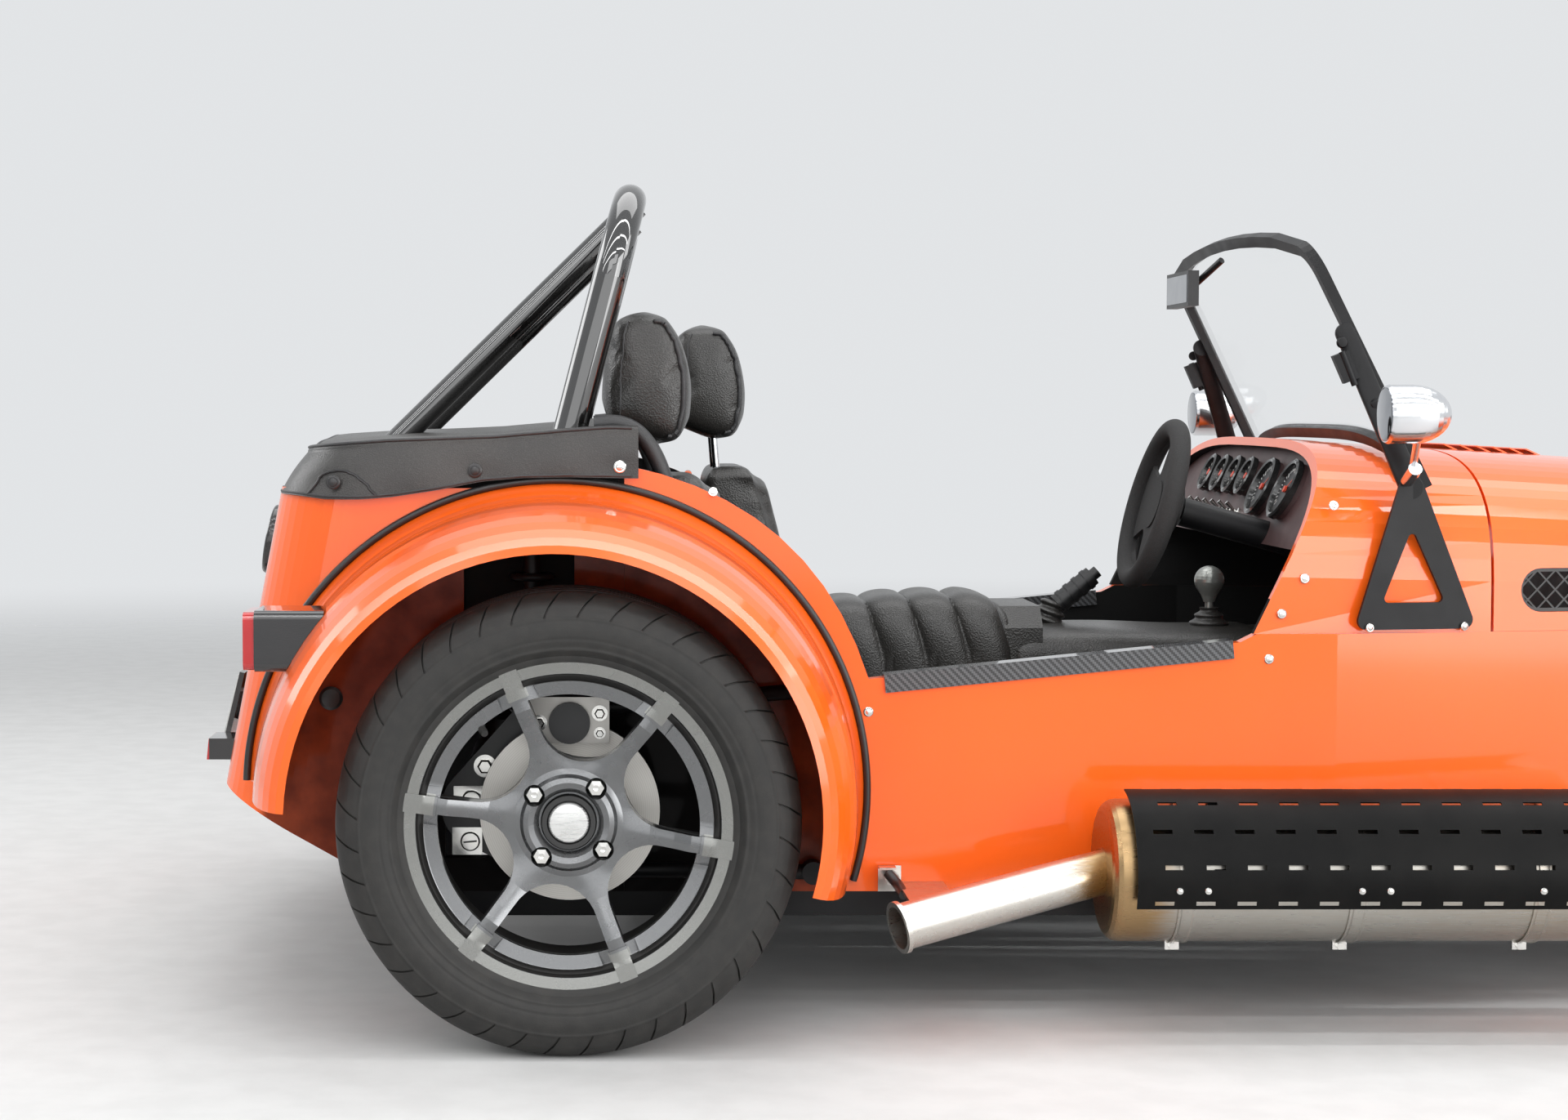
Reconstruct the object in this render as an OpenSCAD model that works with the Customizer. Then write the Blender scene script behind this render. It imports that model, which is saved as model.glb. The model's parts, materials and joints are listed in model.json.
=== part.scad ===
// Lightweight open two-seat roadster with cycle front wings, clamshell rear wings and a side exhaust.
// X runs forward, Y to the car's left, Z up. The origin is on the ground under the middle of the car.
// Inside the modules X is counted from the rear axle; place() moves each finished piece to the origin.

/* [Running gear] */
// Distance between the front and rear axles
wheelbase = 2225; // [2150:5:2350]
// Gap between the body side and the inner face of a rear tyre
tyre_gap = 70; // [66:1:90]
// Distance between the front tyres' centre planes
front_track = 1270; // [1250:2:1340]
// Radius of the tyres
tyre_r = 286; // [278:1:292]
// Section width of the tyres
tyre_w = 196; // [180:2:200]
// Radius of the bead seat on the rim
rim_r = 190.5; // [186:0.5:194]
// Width of the rim across its flanges
rim_w = 164; // [150:2:170]
// Number of wheel spokes
spokes = 6; // [5:1:7]
// Width of a spoke at the rim
spoke_w = 20; // [16:1:24]
// Radius of the brake discs
disc_r = 114; // [105:1:118]
// Thickness of the brake discs
disc_t = 10; // [8:1:12]
// Radius of the wheel bearing spindles
spindle_r = 18; // [15:0.5:20]

/* [Body] */
// Half width of the body beside the seats
body_half = 500; // [490:2:515]
// Height of the chassis rails' underside above the ground
floor_z = 130; // [115:1:140]
// Height and width of the chassis rails
rail = 32; // [25:1:40]
// Thickness of the body sides
wall_t = 25; // [18:1:30]
// Thickness of the bonnet, scuttle and nose skins
skin_t = 12; // [8:1:16]
// Height of the line between bonnet and body side
split_z = 500; // [490:1:510]
// Height of the body side at the rear end of the sill
sill_rear_z = 441; // [430:1:455]
// Height of the body side at the front end of the sill
sill_front_z = 489; // [478:1:489]
// Height of the scuttle over the middle of the car
scuttle_top = 751; // [735:1:765]
// Half width of the body at the nose joint
nose_half = 307; // [290:1:325]
// Distance from the front axle forward to the nose's tip
nose_reach = 430; // [400:5:460]
// Height of the rear tub's top edge
tub_top = 690; // [680:1:700]
// Distance from the rear axle back to the rear panel's top edge
tub_back = 385; // [370:5:400]
// Radius of the rear wing where it meets the body, about its own centre
wing_root_r = 402; // [395:1:408]
// Radius of the rear wing's outer lip about its own centre
wing_lip_r = 325; // [318:1:332]
// Distance that a rear wing reaches past the outer face of its tyre
wing_over = 21; // [16:1:30]
// Thickness of the wing skins
wing_t = 4; // [3:0.5:6]

/* [Cockpit] */
// Rake of the windscreen from the vertical in degrees
screen_rake = 26; // [20:1:32]
// Height of the windscreen's top edge at the middle
screen_top = 1040; // [1020:2:1060]
// Distance from the body's side inwards to the windscreen's top corners
screen_inset = 76; // [70:1:90]
// Width of the windscreen frame bar
screen_bar = 16; // [12:1:20]
// Height of the roll bar's top
hoop_top = 1098; // [1080:2:1130]
// Radius of the roll bar tube
hoop_r = 22.5; // [19:0.5:25]
// Radius of the roll bar's rear stays
stay_r = 17.5; // [15:0.5:20]
// Outer radius of the steering wheel
steering_r = 122; // [115:1:135]
// Distance from the car's middle to a seat's middle
seat_y = 290; // [284:1:296]
// Width of a seat
seat_w = 330; // [300:5:340]
// Distance that the passenger seat is set forward of the driver seat
seat_stagger = 97; // [60:1:110]

/* [Exhaust] */
// Radius of the silencer
silencer_r = 90; // [80:1:95]
// Length of the silencer
silencer_len = 720; // [600:10:740]
// Radius of the tail pipe
tail_r = 29; // [25:1:32]
// Number of slots along the heat shield
shield_slots = 13; // [8:1:14]

/* [Hidden] */
$fn = 64;

// Clearances: a seat between pieces that touch, and a running fit on a spindle
seat_gap = 0.3;
run_gap = 0.1;

// Stations along the car, from the rear axle
taper_x = 1000;
bulkhead_x = 95;
bulkhead_t = 25;
sill_rear_x = 389;
sill_front_x = 873;
scuttle_front_x = 1212;
shut_gap = 4;
nose_joint_x = wheelbase - 135;
nose_tip_x = wheelbase + nose_reach;
firewall_x = wheelbase - 825;
rear_lean = 77;
tub_tail_z = 295;
tub_under_z = 207;
tub_end_x = -tub_back - rear_lean;
fog_reach = 38;
rear_axle_x = -(nose_tip_x + tub_end_x - fog_reach) / 2;
rear_track = 2 * (body_half + tyre_gap) + tyre_w;
wing_half = rear_track / 2 + tyre_w / 2 + wing_over;
screen_half = body_half - screen_inset;

skin_z = floor_z + rail;
wheel_z = tyre_r;
taper = (body_half - nose_half) / (nose_joint_x - taper_x);
top_slope = 0.0615;
wing_x = -18;
wing_z = wheel_z + 9;

function lerp(a, b, t) = a + (b - a) * t;
function half_w(x) = x <= taper_x ? body_half : body_half - (x - taper_x) * taper;
function top_z(x) = scuttle_top - (x - taper_x) * top_slope;
function arch_n(x) = lerp(4, 3, (x - taper_x) / (nose_joint_x - taper_x));
function power(v, p) = sign(v) * pow(abs(v), p);

// Height of the scuttle or bonnet skin's outside at a place across the car
function arch_z(x, y) = let (n = arch_n(x), across = min(1, abs(y) / half_w(x)))
    split_z + (top_z(x) - split_z) * pow(1 - pow(across, n), 1 / n);

// Points of the bonnet arch from the right foot over the top to the left foot
function arch(x, inset, steps = 36) = [for (i = [0:steps]) let (a = 180 * i / steps, n = arch_n(x))
    [-(half_w(x) - inset) * power(cos(a), 2 / n),
     split_z + (top_z(x) - inset - split_z) * power(sin(a), 2 / n)]];

function flip(list) = [for (i = [len(list) - 1:-1:0]) list[i]];

// Points of an arc in the plane
function arc(cx, cy, r, a0, a1, steps) =
    [for (i = [0:steps]) let (a = lerp(a0, a1, i / steps)) [cx + r * cos(a), cy + r * sin(a)]];

module place() translate([rear_axle_x, 0, 0]) children();

module both_sides() {
    children();
    mirror([0, 1, 0]) children();
}

module on_side(side) {
    if (side < 0) mirror([0, 1, 0]) children();
    else children();
}

// A round bar from one point to another
module bar(p, q, r, extra = 0) {
    d = q - p;
    flat = norm([d[0], d[1]]);
    translate(p) rotate([0, atan2(flat, d[2]), atan2(d[1], d[0])]) translate([0, 0, -extra])
        cylinder(r = r, h = norm(d) + 2 * extra);
}

// A solid through a list of rings of points, each with the same number of points, capped at both ends
module loft(rings) {
    n = len(rings[0]);
    last = len(rings) - 1;
    points = [for (ring = rings) for (p = ring) p];
    sides = [for (i = [0:last - 1], j = [0:n - 1])
        let (k = (j + 1) % n, a = i * n + j, b = i * n + k, c = (i + 1) * n + k, d = (i + 1) * n + j)
        each [[a, b, c], [a, c, d]]];
    polyhedron(points, concat([[for (j = [n - 1:-1:0]) j]], sides, [[for (j = [0:n - 1]) last * n + j]]));
}

// A closed skin: rings run out along the outside and back along the inside
module ring_loft(rings) {
    n = len(rings[0]);
    m = len(rings);
    points = [for (ring = rings) for (p = ring) p];
    faces = [for (i = [0:m - 1], j = [0:n - 1]) let (h = (i + 1) % m, k = (j + 1) % n)
        each [[i * n + j, i * n + k, h * n + k], [i * n + j, h * n + k, h * n + j]]];
    polyhedron(points, faces);
}

// A panel through arches of points: its outside, its inside, two feet and two end edges
module panel_loft(outer, inner) {
    m = len(outer);
    n = len(outer[0]);
    o = function(i, j) i * n + j;
    q = function(i, j) (m + i) * n + j;
    quad = function(a, b, c, d) [[a, b, c], [a, c, d]];
    polyhedron(concat([for (ring = outer) each ring], [for (ring = inner) each ring]), concat(
        [for (i = [0:m - 2], j = [0:n - 2]) each quad(o(i, j), o(i, j + 1), o(i + 1, j + 1), o(i + 1, j))],
        [for (i = [0:m - 2], j = [0:n - 2]) each quad(q(i, j + 1), q(i, j), q(i + 1, j), q(i + 1, j + 1))],
        [for (i = [0:m - 2]) each quad(q(i, 0), o(i, 0), o(i + 1, 0), q(i + 1, 0))],
        [for (i = [0:m - 2]) each quad(o(i, n - 1), q(i, n - 1), q(i + 1, n - 1), o(i + 1, n - 1))],
        [for (j = [0:n - 2]) each quad(o(0, j + 1), o(0, j), q(0, j), q(0, j + 1))],
        [for (j = [0:n - 2]) each quad(o(m - 1, j), o(m - 1, j + 1), q(m - 1, j + 1), q(m - 1, j))]));
}

// A plate with its outline in X and Z, between two places across the car
module plate(y0, y1) translate([0, y1, 0]) rotate([90, 0, 0]) linear_extrude(y1 - y0) children();

// A rectangle with round corners, its lower left corner at the origin
module rounded(w, h, r) polygon(concat(
    arc(w - r, r, r, -90, 0, 6), arc(w - r, h - r, r, 0, 90, 6),
    arc(r, h - r, r, 90, 180, 6), arc(r, r, r, 180, 270, 6)));

// Moves a piece to the tapering side of the body, with X along it and Y outwards
module on_taper() translate([taper_x, body_half, 0]) rotate([0, 0, -atan(taper)]) children();

// Chassis

tower_x0 = -139;
tower_x1 = 5;
tower_z1 = 655;
axle_tube_x = -112;
pad_xs = [560, wheelbase - 525];
pad_w = 60;
pad_t = 8;
wishbone_reach = 115;
wishbone_y = 268;
low_arm_z = wheel_z - 86;
high_arm_z = wheel_z + 92;
front_frame_w = 25;

module rail_run(side) {
    on_side(side) {
        translate([-200, body_half - rail, floor_z]) cube([taper_x + 200, rail, rail]);
        translate([taper_x, body_half, floor_z]) rotate([0, 0, -atan(taper)])
            translate([-5, -rail, 0]) cube([(nose_joint_x - taper_x) / cos(atan(taper)) + 5, rail, rail]);
    }
}

module jack_pad(x, side) {
    y = half_w(x) - 70;
    translate([x - pad_w / 2, side * y - pad_w / 2, floor_z - pad_t]) cube([pad_w, pad_w, pad_t + 2]);
}

module front_frame(side) {
    y = wishbone_y;
    w = front_frame_w;
    on_side(side) {
        for (dx = [-wishbone_reach, wishbone_reach])
            translate([wheelbase + dx - w / 2, y - w, floor_z]) cube([w, w, high_arm_z + 60 - floor_z]);
        for (z = [floor_z, high_arm_z + 60 - w])
            translate([nose_joint_x - 30, y - w, z])
                cube([wishbone_reach + wheelbase - nose_joint_x + 30 + w / 2, w, w]);
    }
}

module chassis_frame() color("black") place() {
    for (side = [-1, 1]) {
        rail_run(side);
        front_frame(side);
        for (x = pad_xs) jack_pad(x, side);
    }
    for (x = [-200, bulkhead_x, 560, 1000]) translate([x, -body_half + rail / 2, floor_z])
        cube([rail, 2 * body_half - rail, rail]);
    for (x = [firewall_x, pad_xs[1], nose_joint_x - 40])
        translate([x, -half_w(x + rail) + rail / 2, floor_z])
            cube([rail, 2 * half_w(x + rail) - rail, rail]);
    translate([wheelbase + wishbone_reach - front_frame_w / 2, -wishbone_y, floor_z])
        cube([front_frame_w, 2 * wishbone_y, front_frame_w]);
}

tunnel_half = 110;
floor_t = 8;
floor_top = skin_z + floor_t;

module floor_pan() color("dimgray") place() {
    inner = wall_t + seat_gap;
    for (side = [-1, 1]) on_side(side) translate([0, 0, skin_z]) linear_extrude(floor_t)
        polygon([[bulkhead_x + seat_gap, tunnel_half - 12], [firewall_x, tunnel_half + 60],
                 [firewall_x, half_w(firewall_x) - inner - 2], [taper_x, body_half - inner - 1],
                 [bulkhead_x + seat_gap, body_half - inner]]);
}

// Bodywork

// Outline of a body side, seen from beside the car: a low sill, then a curve up behind the seat
module side_outline() {
    back_x = bulkhead_x - bulkhead_t;
    bulge = 63;
    polygon(concat(
        [[back_x, skin_z], [nose_joint_x, skin_z], [nose_joint_x, split_z], [sill_front_x + 22, split_z],
         [sill_front_x, sill_front_z], [sill_rear_x, sill_rear_z]],
        [for (t = [0.1:0.1:1]) let (out = bulge * 4 * t * (1 - t))
            [lerp(sill_rear_x, back_x, t) + out * 0.69, lerp(sill_rear_z, tub_top + 30, t) + out * 0.72]]));
}

// Plan of a body side: straight beside the seats, then tapering to the nose
module side_plan() {
    turn = atan(taper);
    polygon([[0, body_half], [taper_x, body_half], [nose_joint_x + 10, half_w(nose_joint_x + 10)],
             [nose_joint_x + 10, half_w(nose_joint_x + 10) - wall_t / cos(turn)],
             [taper_x - wall_t * tan(turn / 2), body_half - wall_t], [0, body_half - wall_t]]);
}

header_x = wheelbase - 585;
header_w = 250;
header_z = 400;

module side_panel(side) color("orangered") place() on_side(side) difference() {
    intersection() {
        linear_extrude(1000) side_plan();
        plate(100, 600) side_outline();
    }
    if (side < 0) translate([header_x, body_half - 250, header_z - 60]) cube([header_w, 300, 85]);
}

module side_panel_right() side_panel(-1);
module side_panel_left() side_panel(1);

corner_r = 110;

// The tub's outline in plan, leaning back towards the bottom, grown or shrunk by an inset
module tub_body(inset, z0, z1) {
    lean = atan(rear_lean / (tub_top - tub_tail_z));
    r = corner_r - inset;
    hull() {
        for (side = [-1, 1]) {
            translate([-tub_back + corner_r, side * (body_half - corner_r), tub_top]) rotate([0, lean, 0])
                translate([0, 0, (z0 - tub_top) / cos(lean)])
                    cylinder(r = r, h = (z1 - z0) / cos(lean), $fn = 48);
            translate([bulkhead_x - bulkhead_t - 1 - seat_gap,
                side * (body_half - inset) - (side > 0 ? 1 : 0), z0]) cube([1, 1, z1 - z0]);
        }
    }
}

boot_floor_z = 480;

module tub_profile() {
    front = bulkhead_x - bulkhead_t - seat_gap;
    plate(-body_half - 20, body_half + 20)
        polygon([[front, skin_z], [-230, skin_z], [-309, tub_under_z], [tub_end_x - 4, tub_tail_z],
                 [tub_end_x - 60, tub_tail_z + 30], [-tub_back - 60, tub_top], [front, tub_top]]);
}

module rear_tub() color("orangered") place() {
    difference() {
        intersection() {
            tub_body(0, 100, 800);
            tub_profile();
        }
        difference() {
            tub_body(wall_t, 90, 820);
            translate([-700, -600, boot_floor_z - 15]) cube([900, 1200, 15]);
            translate([stay_foot[0] - 30, -600, tub_top - 40]) cube([60, 1200, 30]);
        }
        translate([axle_tube_x - 52, -600, wheel_z - 80]) cube([180, 1200, 180]);
        for (side = [-1, 1]) translate([tower_x0, side * body_half - 13, wheel_z + 90])
            cube([tower_x1 - tower_x0, 26, tower_z1 - wheel_z - 90]);
    }
}

wing_dip = 20;
wing_crown_y = body_half + 90;

// Section of a rear wing: a hollow curve from the body to the crown, then an elliptical shoulder to the lip
function wing_outer(inset) = concat(
    [for (t = [0:0.25:0.75])
        [lerp(body_half + seat_gap, wing_crown_y, t), wing_root_r - inset - wing_dip * sin(90 * t)]],
    [for (a = [90:-10:0])
        [lerp(wing_crown_y, wing_half - inset, cos(a)),
         lerp(wing_lip_r, wing_root_r - wing_dip - inset, sin(a))]]);

module rear_wing(side) on_side(side) {
    translate([wing_x, 0, wing_z]) rotate([90, 0, 0]) rotate([0, 0, -16]) mirror([0, 0, 1])
        rotate_extrude(angle = 194)
            polygon([for (p = concat(wing_outer(0), flip(wing_outer(wing_t)))) [p[1], p[0]]]);
}

module rear_wings() color("orangered") place() for (side = [-1, 1]) rear_wing(side);

function scuttle_edge_x(z) = 886 + (z - 491) * 0.48;

// Points of an arch set at a station, or along the scuttle's sloping rear edge
function at_x(x, inset, lift = 0) = [for (p = arch(x, inset)) [x, p[0], p[1] + lift]];
function at_edge(inset) = [for (p = arch(taper_x, inset)) [scuttle_edge_x(p[1]), p[0], p[1]]];

module scuttle() color("orangered") place()
    panel_loft([at_edge(0), at_x(scuttle_front_x, 0)], [at_edge(skin_t), at_x(scuttle_front_x, skin_t)]);

dash_bottom = 606;
dash_t = 14;
dash_set = 16;
column_tilt = 15.6;
steer_x = 810;
steer_z = 661;
sleeve_r = 20;

module column_axis() translate([steer_x, -seat_y + 45, steer_z]) rotate([0, 90 + column_tilt, 0])
    children();

module dash_place(y, z) translate([scuttle_edge_x(z) + dash_set, y, z]) rotate([0, -90 + atan(0.48), 0])
    children();

// Points of the scuttle's inside, a given distance ahead of its sloping rear edge
function under_scuttle(ahead, inset) = let (rear = at_edge(inset), front = at_x(scuttle_front_x, inset))
    [for (i = [0:len(rear) - 1]) lerp(rear[i], front[i], ahead / (scuttle_front_x - rear[i][0]))];

module dash_panel(ahead) {
    face = function(d) let (
        top = [for (p = under_scuttle(d, skin_t + seat_gap)) if (p[2] > dash_bottom) p],
        last = top[len(top) - 1],
        foot_x = scuttle_edge_x(dash_bottom) + d)
        concat([[foot_x, top[0][1], dash_bottom]], top, [[foot_x, last[1], dash_bottom]]);
    loft([face(ahead), face(ahead + dash_t)]);
}

module dashboard() color("dimgray") place() difference() {
    union() {
        dash_panel(dash_set);
        for (y = [-160, -290]) dash_place(y, 678) cylinder(r = 42, h = 14, center = true);
        for (y = [-40:80:200]) dash_place(y, 690) cylinder(r = 28, h = 14, center = true);
    }
    column_axis() cylinder(r = sleeve_r + seat_gap, h = 600);
}

vent_x = 258;
vent_len = 185;
vent_h = 58;
louvres = 6;
louvre_pitch = 24;
louvre_w = 170;
louvre_x = scuttle_front_x + 52;

// Outline of the side vent, along the tapering side and up it
module vent_outline(inset) translate([vent_x + inset, split_z + 25 + inset])
    rounded(vent_len - 2 * inset, vent_h - 2 * inset, vent_h / 2 - inset - 0.01);

module at_louvre(i) {
    x = louvre_x + i * louvre_pitch;
    translate([x, 0, top_z(x) + seat_gap]) children();
}

module bonnet() color("orangered") place() {
    steps = 8;
    stations = [for (i = [0:steps]) lerp(scuttle_front_x + shut_gap, nose_joint_x - shut_gap, i / steps)];
    difference() {
        panel_loft([for (x = stations) at_x(x, 0, seat_gap)],
            [for (x = stations) at_x(x, skin_t, seat_gap)]);
        both_sides() on_taper() plate(-5 * skin_t, 20) vent_outline(0);
        for (i = [0:louvres - 1]) at_louvre(i) translate([0, -louvre_w / 2 + 4, -2 * skin_t])
            cube([13, louvre_w - 8, 4 * skin_t]);
    }
    for (i = [0:louvres - 1]) at_louvre(i) plate(-louvre_w / 2, louvre_w / 2)
        polygon([[20, -skin_t / 2], [20, -1], [0, 8], [-1, 6.5], [13.5, -0.5], [13.5, -skin_t / 2]]);
}

mouth_half = 205;
mouth_top = 525;
mouth_bottom = 268;

// Ring of the nose at a station t from the joint to the mouth
function nose_ring(t, inset, steps = 24) = let (
    ease = t * t,
    round = pow(t, 4),
    x = lerp(nose_joint_x, nose_tip_x, t),
    w = lerp(nose_half, mouth_half + 30, t) - 30 * round - inset,
    zt = lerp(top_z(nose_joint_x), mouth_top + 55, lerp(t, ease, 0.6)) - 55 * round - inset,
    zb = lerp(skin_z, mouth_bottom - 30, ease) + 30 * round + inset,
    zs = lerp(split_z, (mouth_top + mouth_bottom) / 2, t),
    n1 = lerp(3, 2.4, t),
    n2 = lerp(9, 2.4, pow(t, 0.7)))
    [for (i = [0:2 * steps - 1]) let (a = 180 * i / steps, s = sin(a), n = s >= 0 ? n1 : n2)
        [x, -w * power(cos(a), 2 / n), zs + (s >= 0 ? zt - zs : zs - zb) * power(s, 2 / n)]];

module nose_cone() color("orangered") place() {
    ts = [0, 0.15, 0.3, 0.45, 0.6, 0.72, 0.83, 0.92, 1];
    difference() {
        ring_loft(concat([for (t = ts) nose_ring(t, 0)], [for (t = flip(ts)) nose_ring(t, skin_t)]));
        for (side = [-1, 1]) translate([wheelbase - wishbone_reach - 35, side * 300 - 100, low_arm_z - 45])
            cube([2 * wishbone_reach + 70, 200, high_arm_z - low_arm_z + 160]);
        translate([nose_joint_x - 10, -wishbone_y + 30, skin_z - 40])
            cube([wheelbase + wishbone_reach - nose_joint_x + 50, 2 * wishbone_y - 60, 90]);
    }
}

grille_x = nose_tip_x - 60;

module grille() color("black") place() {
    t = (grille_x + 10 - nose_joint_x) / (nose_tip_x - nose_joint_x);
    ring = nose_ring(t, skin_t + 2.5);
    inner = nose_ring(t, skin_t + 16);
    intersection() {
        translate([grille_x, 0, 0]) rotate([90, 0, 90]) linear_extrude(8)
            polygon([for (p = ring) [p[1], p[2]]]);
        union() {
            difference() {
                translate([grille_x - 1, -400, 0]) cube([10, 800, 800]);
                translate([grille_x - 2, 0, 0]) rotate([90, 0, 90]) linear_extrude(12)
                    polygon([for (p = inner) [p[1], p[2]]]);
            }
            for (i = [-10:10]) translate([grille_x, i * 20 - 1.5, 100]) cube([5, 3, 600]);
            for (i = [0:16]) translate([grille_x + 1, -300, 200 + i * 22]) cube([5, 600, 3]);
        }
    }
    both_sides() on_taper() vent_mesh();
}

// The side vent's mesh: a rim that fits its slot, with crossing bars
module vent_mesh() {
    pitch = 26;
    plate(-skin_t / 2 - 3, -skin_t / 2) difference() {
        vent_outline(seat_gap);
        vent_outline(5);
    }
    intersection() {
        plate(-skin_t / 2 - 2.5, -skin_t / 2 - 0.5) vent_outline(3);
        union() for (i = [-1:8], turn = [-45, 45])
            translate([vent_x + i * pitch, 0, split_z + 25 + vent_h / 2]) rotate([0, turn, 0])
                translate([-1.2, -skin_t, -80]) cube([2.4, skin_t, 160]);
    }
}

module radiator() color("silver") place()
    translate([wheelbase + wishbone_reach + 20, -200, skin_z + 60]) cube([42, 400, 270]);

// Windscreen

screen_base_x = 1098;
screen_t = 14;

// Moves a drawing in the windscreen's own plane, across and up the slope, to its place
module screen_plane() translate([screen_base_x, 0, arch_z(screen_base_x, 0)]) rotate([0, -screen_rake, 0])
    rotate([90, 0, 90]) children();

screen_h = (screen_top - arch_z(screen_base_x, 0)) / cos(screen_rake);
screen_corner = 55;
screen_crown = 30;
screen_lift = 6;

// Outline of the windscreen in its plane, a given distance inside the frame's edge
function screen_outline(inset) = let (
    half = screen_half - inset,
    foot = screen_half + 14 - inset,
    top = screen_h - inset,
    r = screen_corner - inset,
    base_z = arch_z(screen_base_x, 0) - screen_lift)
    concat(
        [for (i = [0:24]) let (y = lerp(-foot, foot, i / 24))
            [y, (arch_z(screen_base_x + 10, y) - base_z) / cos(screen_rake) + inset]],
        arc(half - r, top - screen_crown - r, r, 0, 70, 6),
        [for (i = [1:7]) let (y = lerp(half - r, -half + r, i / 8))
            [y, top - screen_crown * pow(y / half, 2)]],
        arc(-half + r, top - screen_crown - r, r, 110, 180, 6));

// A flat bracket on the scuttle's side with a triangular hole, and an arm from it to the windscreen frame
module stanchion(side) on_side(side) {
    arm_z = screen_top - 147;
    arm_x = screen_base_x - (arm_z - arch_z(screen_base_x, 0)) * tan(screen_rake) - 2;
    on_taper() translate([0, 0, split_z]) plate(seat_gap, 5 + seat_gap) difference() {
        hull() {
            for (p = [[38, 17], [175, 17]]) translate(p) circle(12, $fn = 32);
            translate([98, 190]) circle(17, $fn = 32);
        }
        hull() for (p = [[68, 46], [138, 46], [100, 124]]) translate(p) circle(6, $fn = 24);
    }
    hull() {
        translate([taper_x + 97, half_w(taper_x + 97) + 1, split_z + 190]) rotate([-90, 0, 0])
            cylinder(r = 15, h = 4, $fn = 32);
        translate([arm_x, screen_half + 1, arm_z]) rotate([-90, 0, 0]) cylinder(r = 13, h = 5, $fn = 32);
    }
}

module windscreen_frame() color("black") place() {
    screen_plane() linear_extrude(screen_t) difference() {
        polygon(screen_outline(0));
        polygon(screen_outline(screen_bar));
    }
    for (side = [-1, 1]) stanchion(side);
}

module windscreen_glass() color("lightsteelblue", 0.35) place()
    screen_plane() translate([0, 0, screen_t / 2 - 2.5]) linear_extrude(5)
        polygon(screen_outline(screen_bar + seat_gap));

module door_mirror(side) {
    x = screen_base_x - 16;
    y = body_half + 60;
    z = split_z + 286;
    on_side(side) {
        translate([x - 42, y, z]) rotate([0, 90, 0]) rotate_extrude()
            polygon(concat([[0, 0], [36, 0], [38, 4]],
                [for (a = [0:10:90]) [38 * cos(a), 34 + 50 * sin(a)]]));
        bar([x, y, z - 30], [x + 8, body_half + 13, z - 71], 5, 0);
        bar([x + 8, body_half + 26, z - 70], [x + 8, half_w(x + 8) + 9, z - 86], 9, 0);
    }
}

module mirrors() color("silver") place() {
    for (side = [-1, 1]) door_mirror(side);
    top_x = screen_base_x - screen_h * sin(screen_rake);
    translate([top_x - 48, -10, screen_top - 95]) cube([16, 150, 52]);
    bar([top_x - 38, 60, screen_top - 75], [top_x + 1, 0, screen_top - 30], 5, 4);
}

// Roll bar

hoop_half = 420;
hoop_lean = 14.5;
hoop_bend = 110;
hoop_foot_x = -75;
stay_y = 190;

module hoop() {
    straight = (hoop_top - hoop_r - boot_floor_z) / cos(hoop_lean) - hoop_bend;
    translate([hoop_foot_x, 0, boot_floor_z]) rotate([0, hoop_lean, 0]) {
        for (side = [-1, 1]) on_side(side) {
            translate([0, hoop_half, -20]) cylinder(r = hoop_r, h = straight + 20);
            translate([0, hoop_half - hoop_bend, straight]) rotate([90, 0, 90]) rotate_extrude(angle = 90)
                translate([hoop_bend, 0]) circle(hoop_r);
        }
        translate([0, -hoop_half + hoop_bend, straight + hoop_bend]) rotate([-90, 0, 0])
            cylinder(r = hoop_r, h = 2 * (hoop_half - hoop_bend));
    }
}

function hoop_x(z) = hoop_foot_x + (z - boot_floor_z) * tan(hoop_lean);

stay_foot = [-318, stay_y, tub_top - 10];

module roll_bar() color("black") place() difference() {
    union() {
        hoop();
        for (side = [-1, 1]) on_side(side) {
            top = hoop_top - 34;
            bar([hoop_x(top), stay_y, top], stay_foot, stay_r, 20);
            translate([stay_foot[0] - 27, stay_y - 40, tub_top - 10]) cube([54, 80, 8]);
            translate([hoop_foot_x - 40, hoop_half - 40, boot_floor_z]) cube([80, 80, 8]);
        }
    }
    translate([-600, -600, boot_floor_z - 100]) cube([1200, 1200, 100]);
    translate([-600, -300, boot_floor_z - 100]) cube([400, 600, tub_top - 10 - boot_floor_z + 100]);
}

// Boot cover: a fabric lid with skirts outside the tub's top edge

cover_top = 762;
cover_skirt = 680;
cover_t = 6;

module cover_block(grow, z0, z1) {
    hull() {
        for (side = [-1, 1]) {
            translate([-tub_back + corner_r, side * (body_half - corner_r), z0])
                cylinder(r = corner_r + grow, h = z1 - z0 - 18, $fn = 32);
            translate([-tub_back + corner_r, side * (body_half - corner_r), z0])
                cylinder(r = corner_r + grow - 16, h = z1 - z0, $fn = 32);
            translate([88 + grow - 10, side * (body_half + grow - 10), z0])
                cylinder(r = 10, h = z1 - z0 - 18, $fn = 32);
            translate([88 + grow - 20, side * (body_half + grow - 20), z0])
                cylinder(r = 10, h = z1 - z0, $fn = 32);
        }
    }
}

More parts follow.
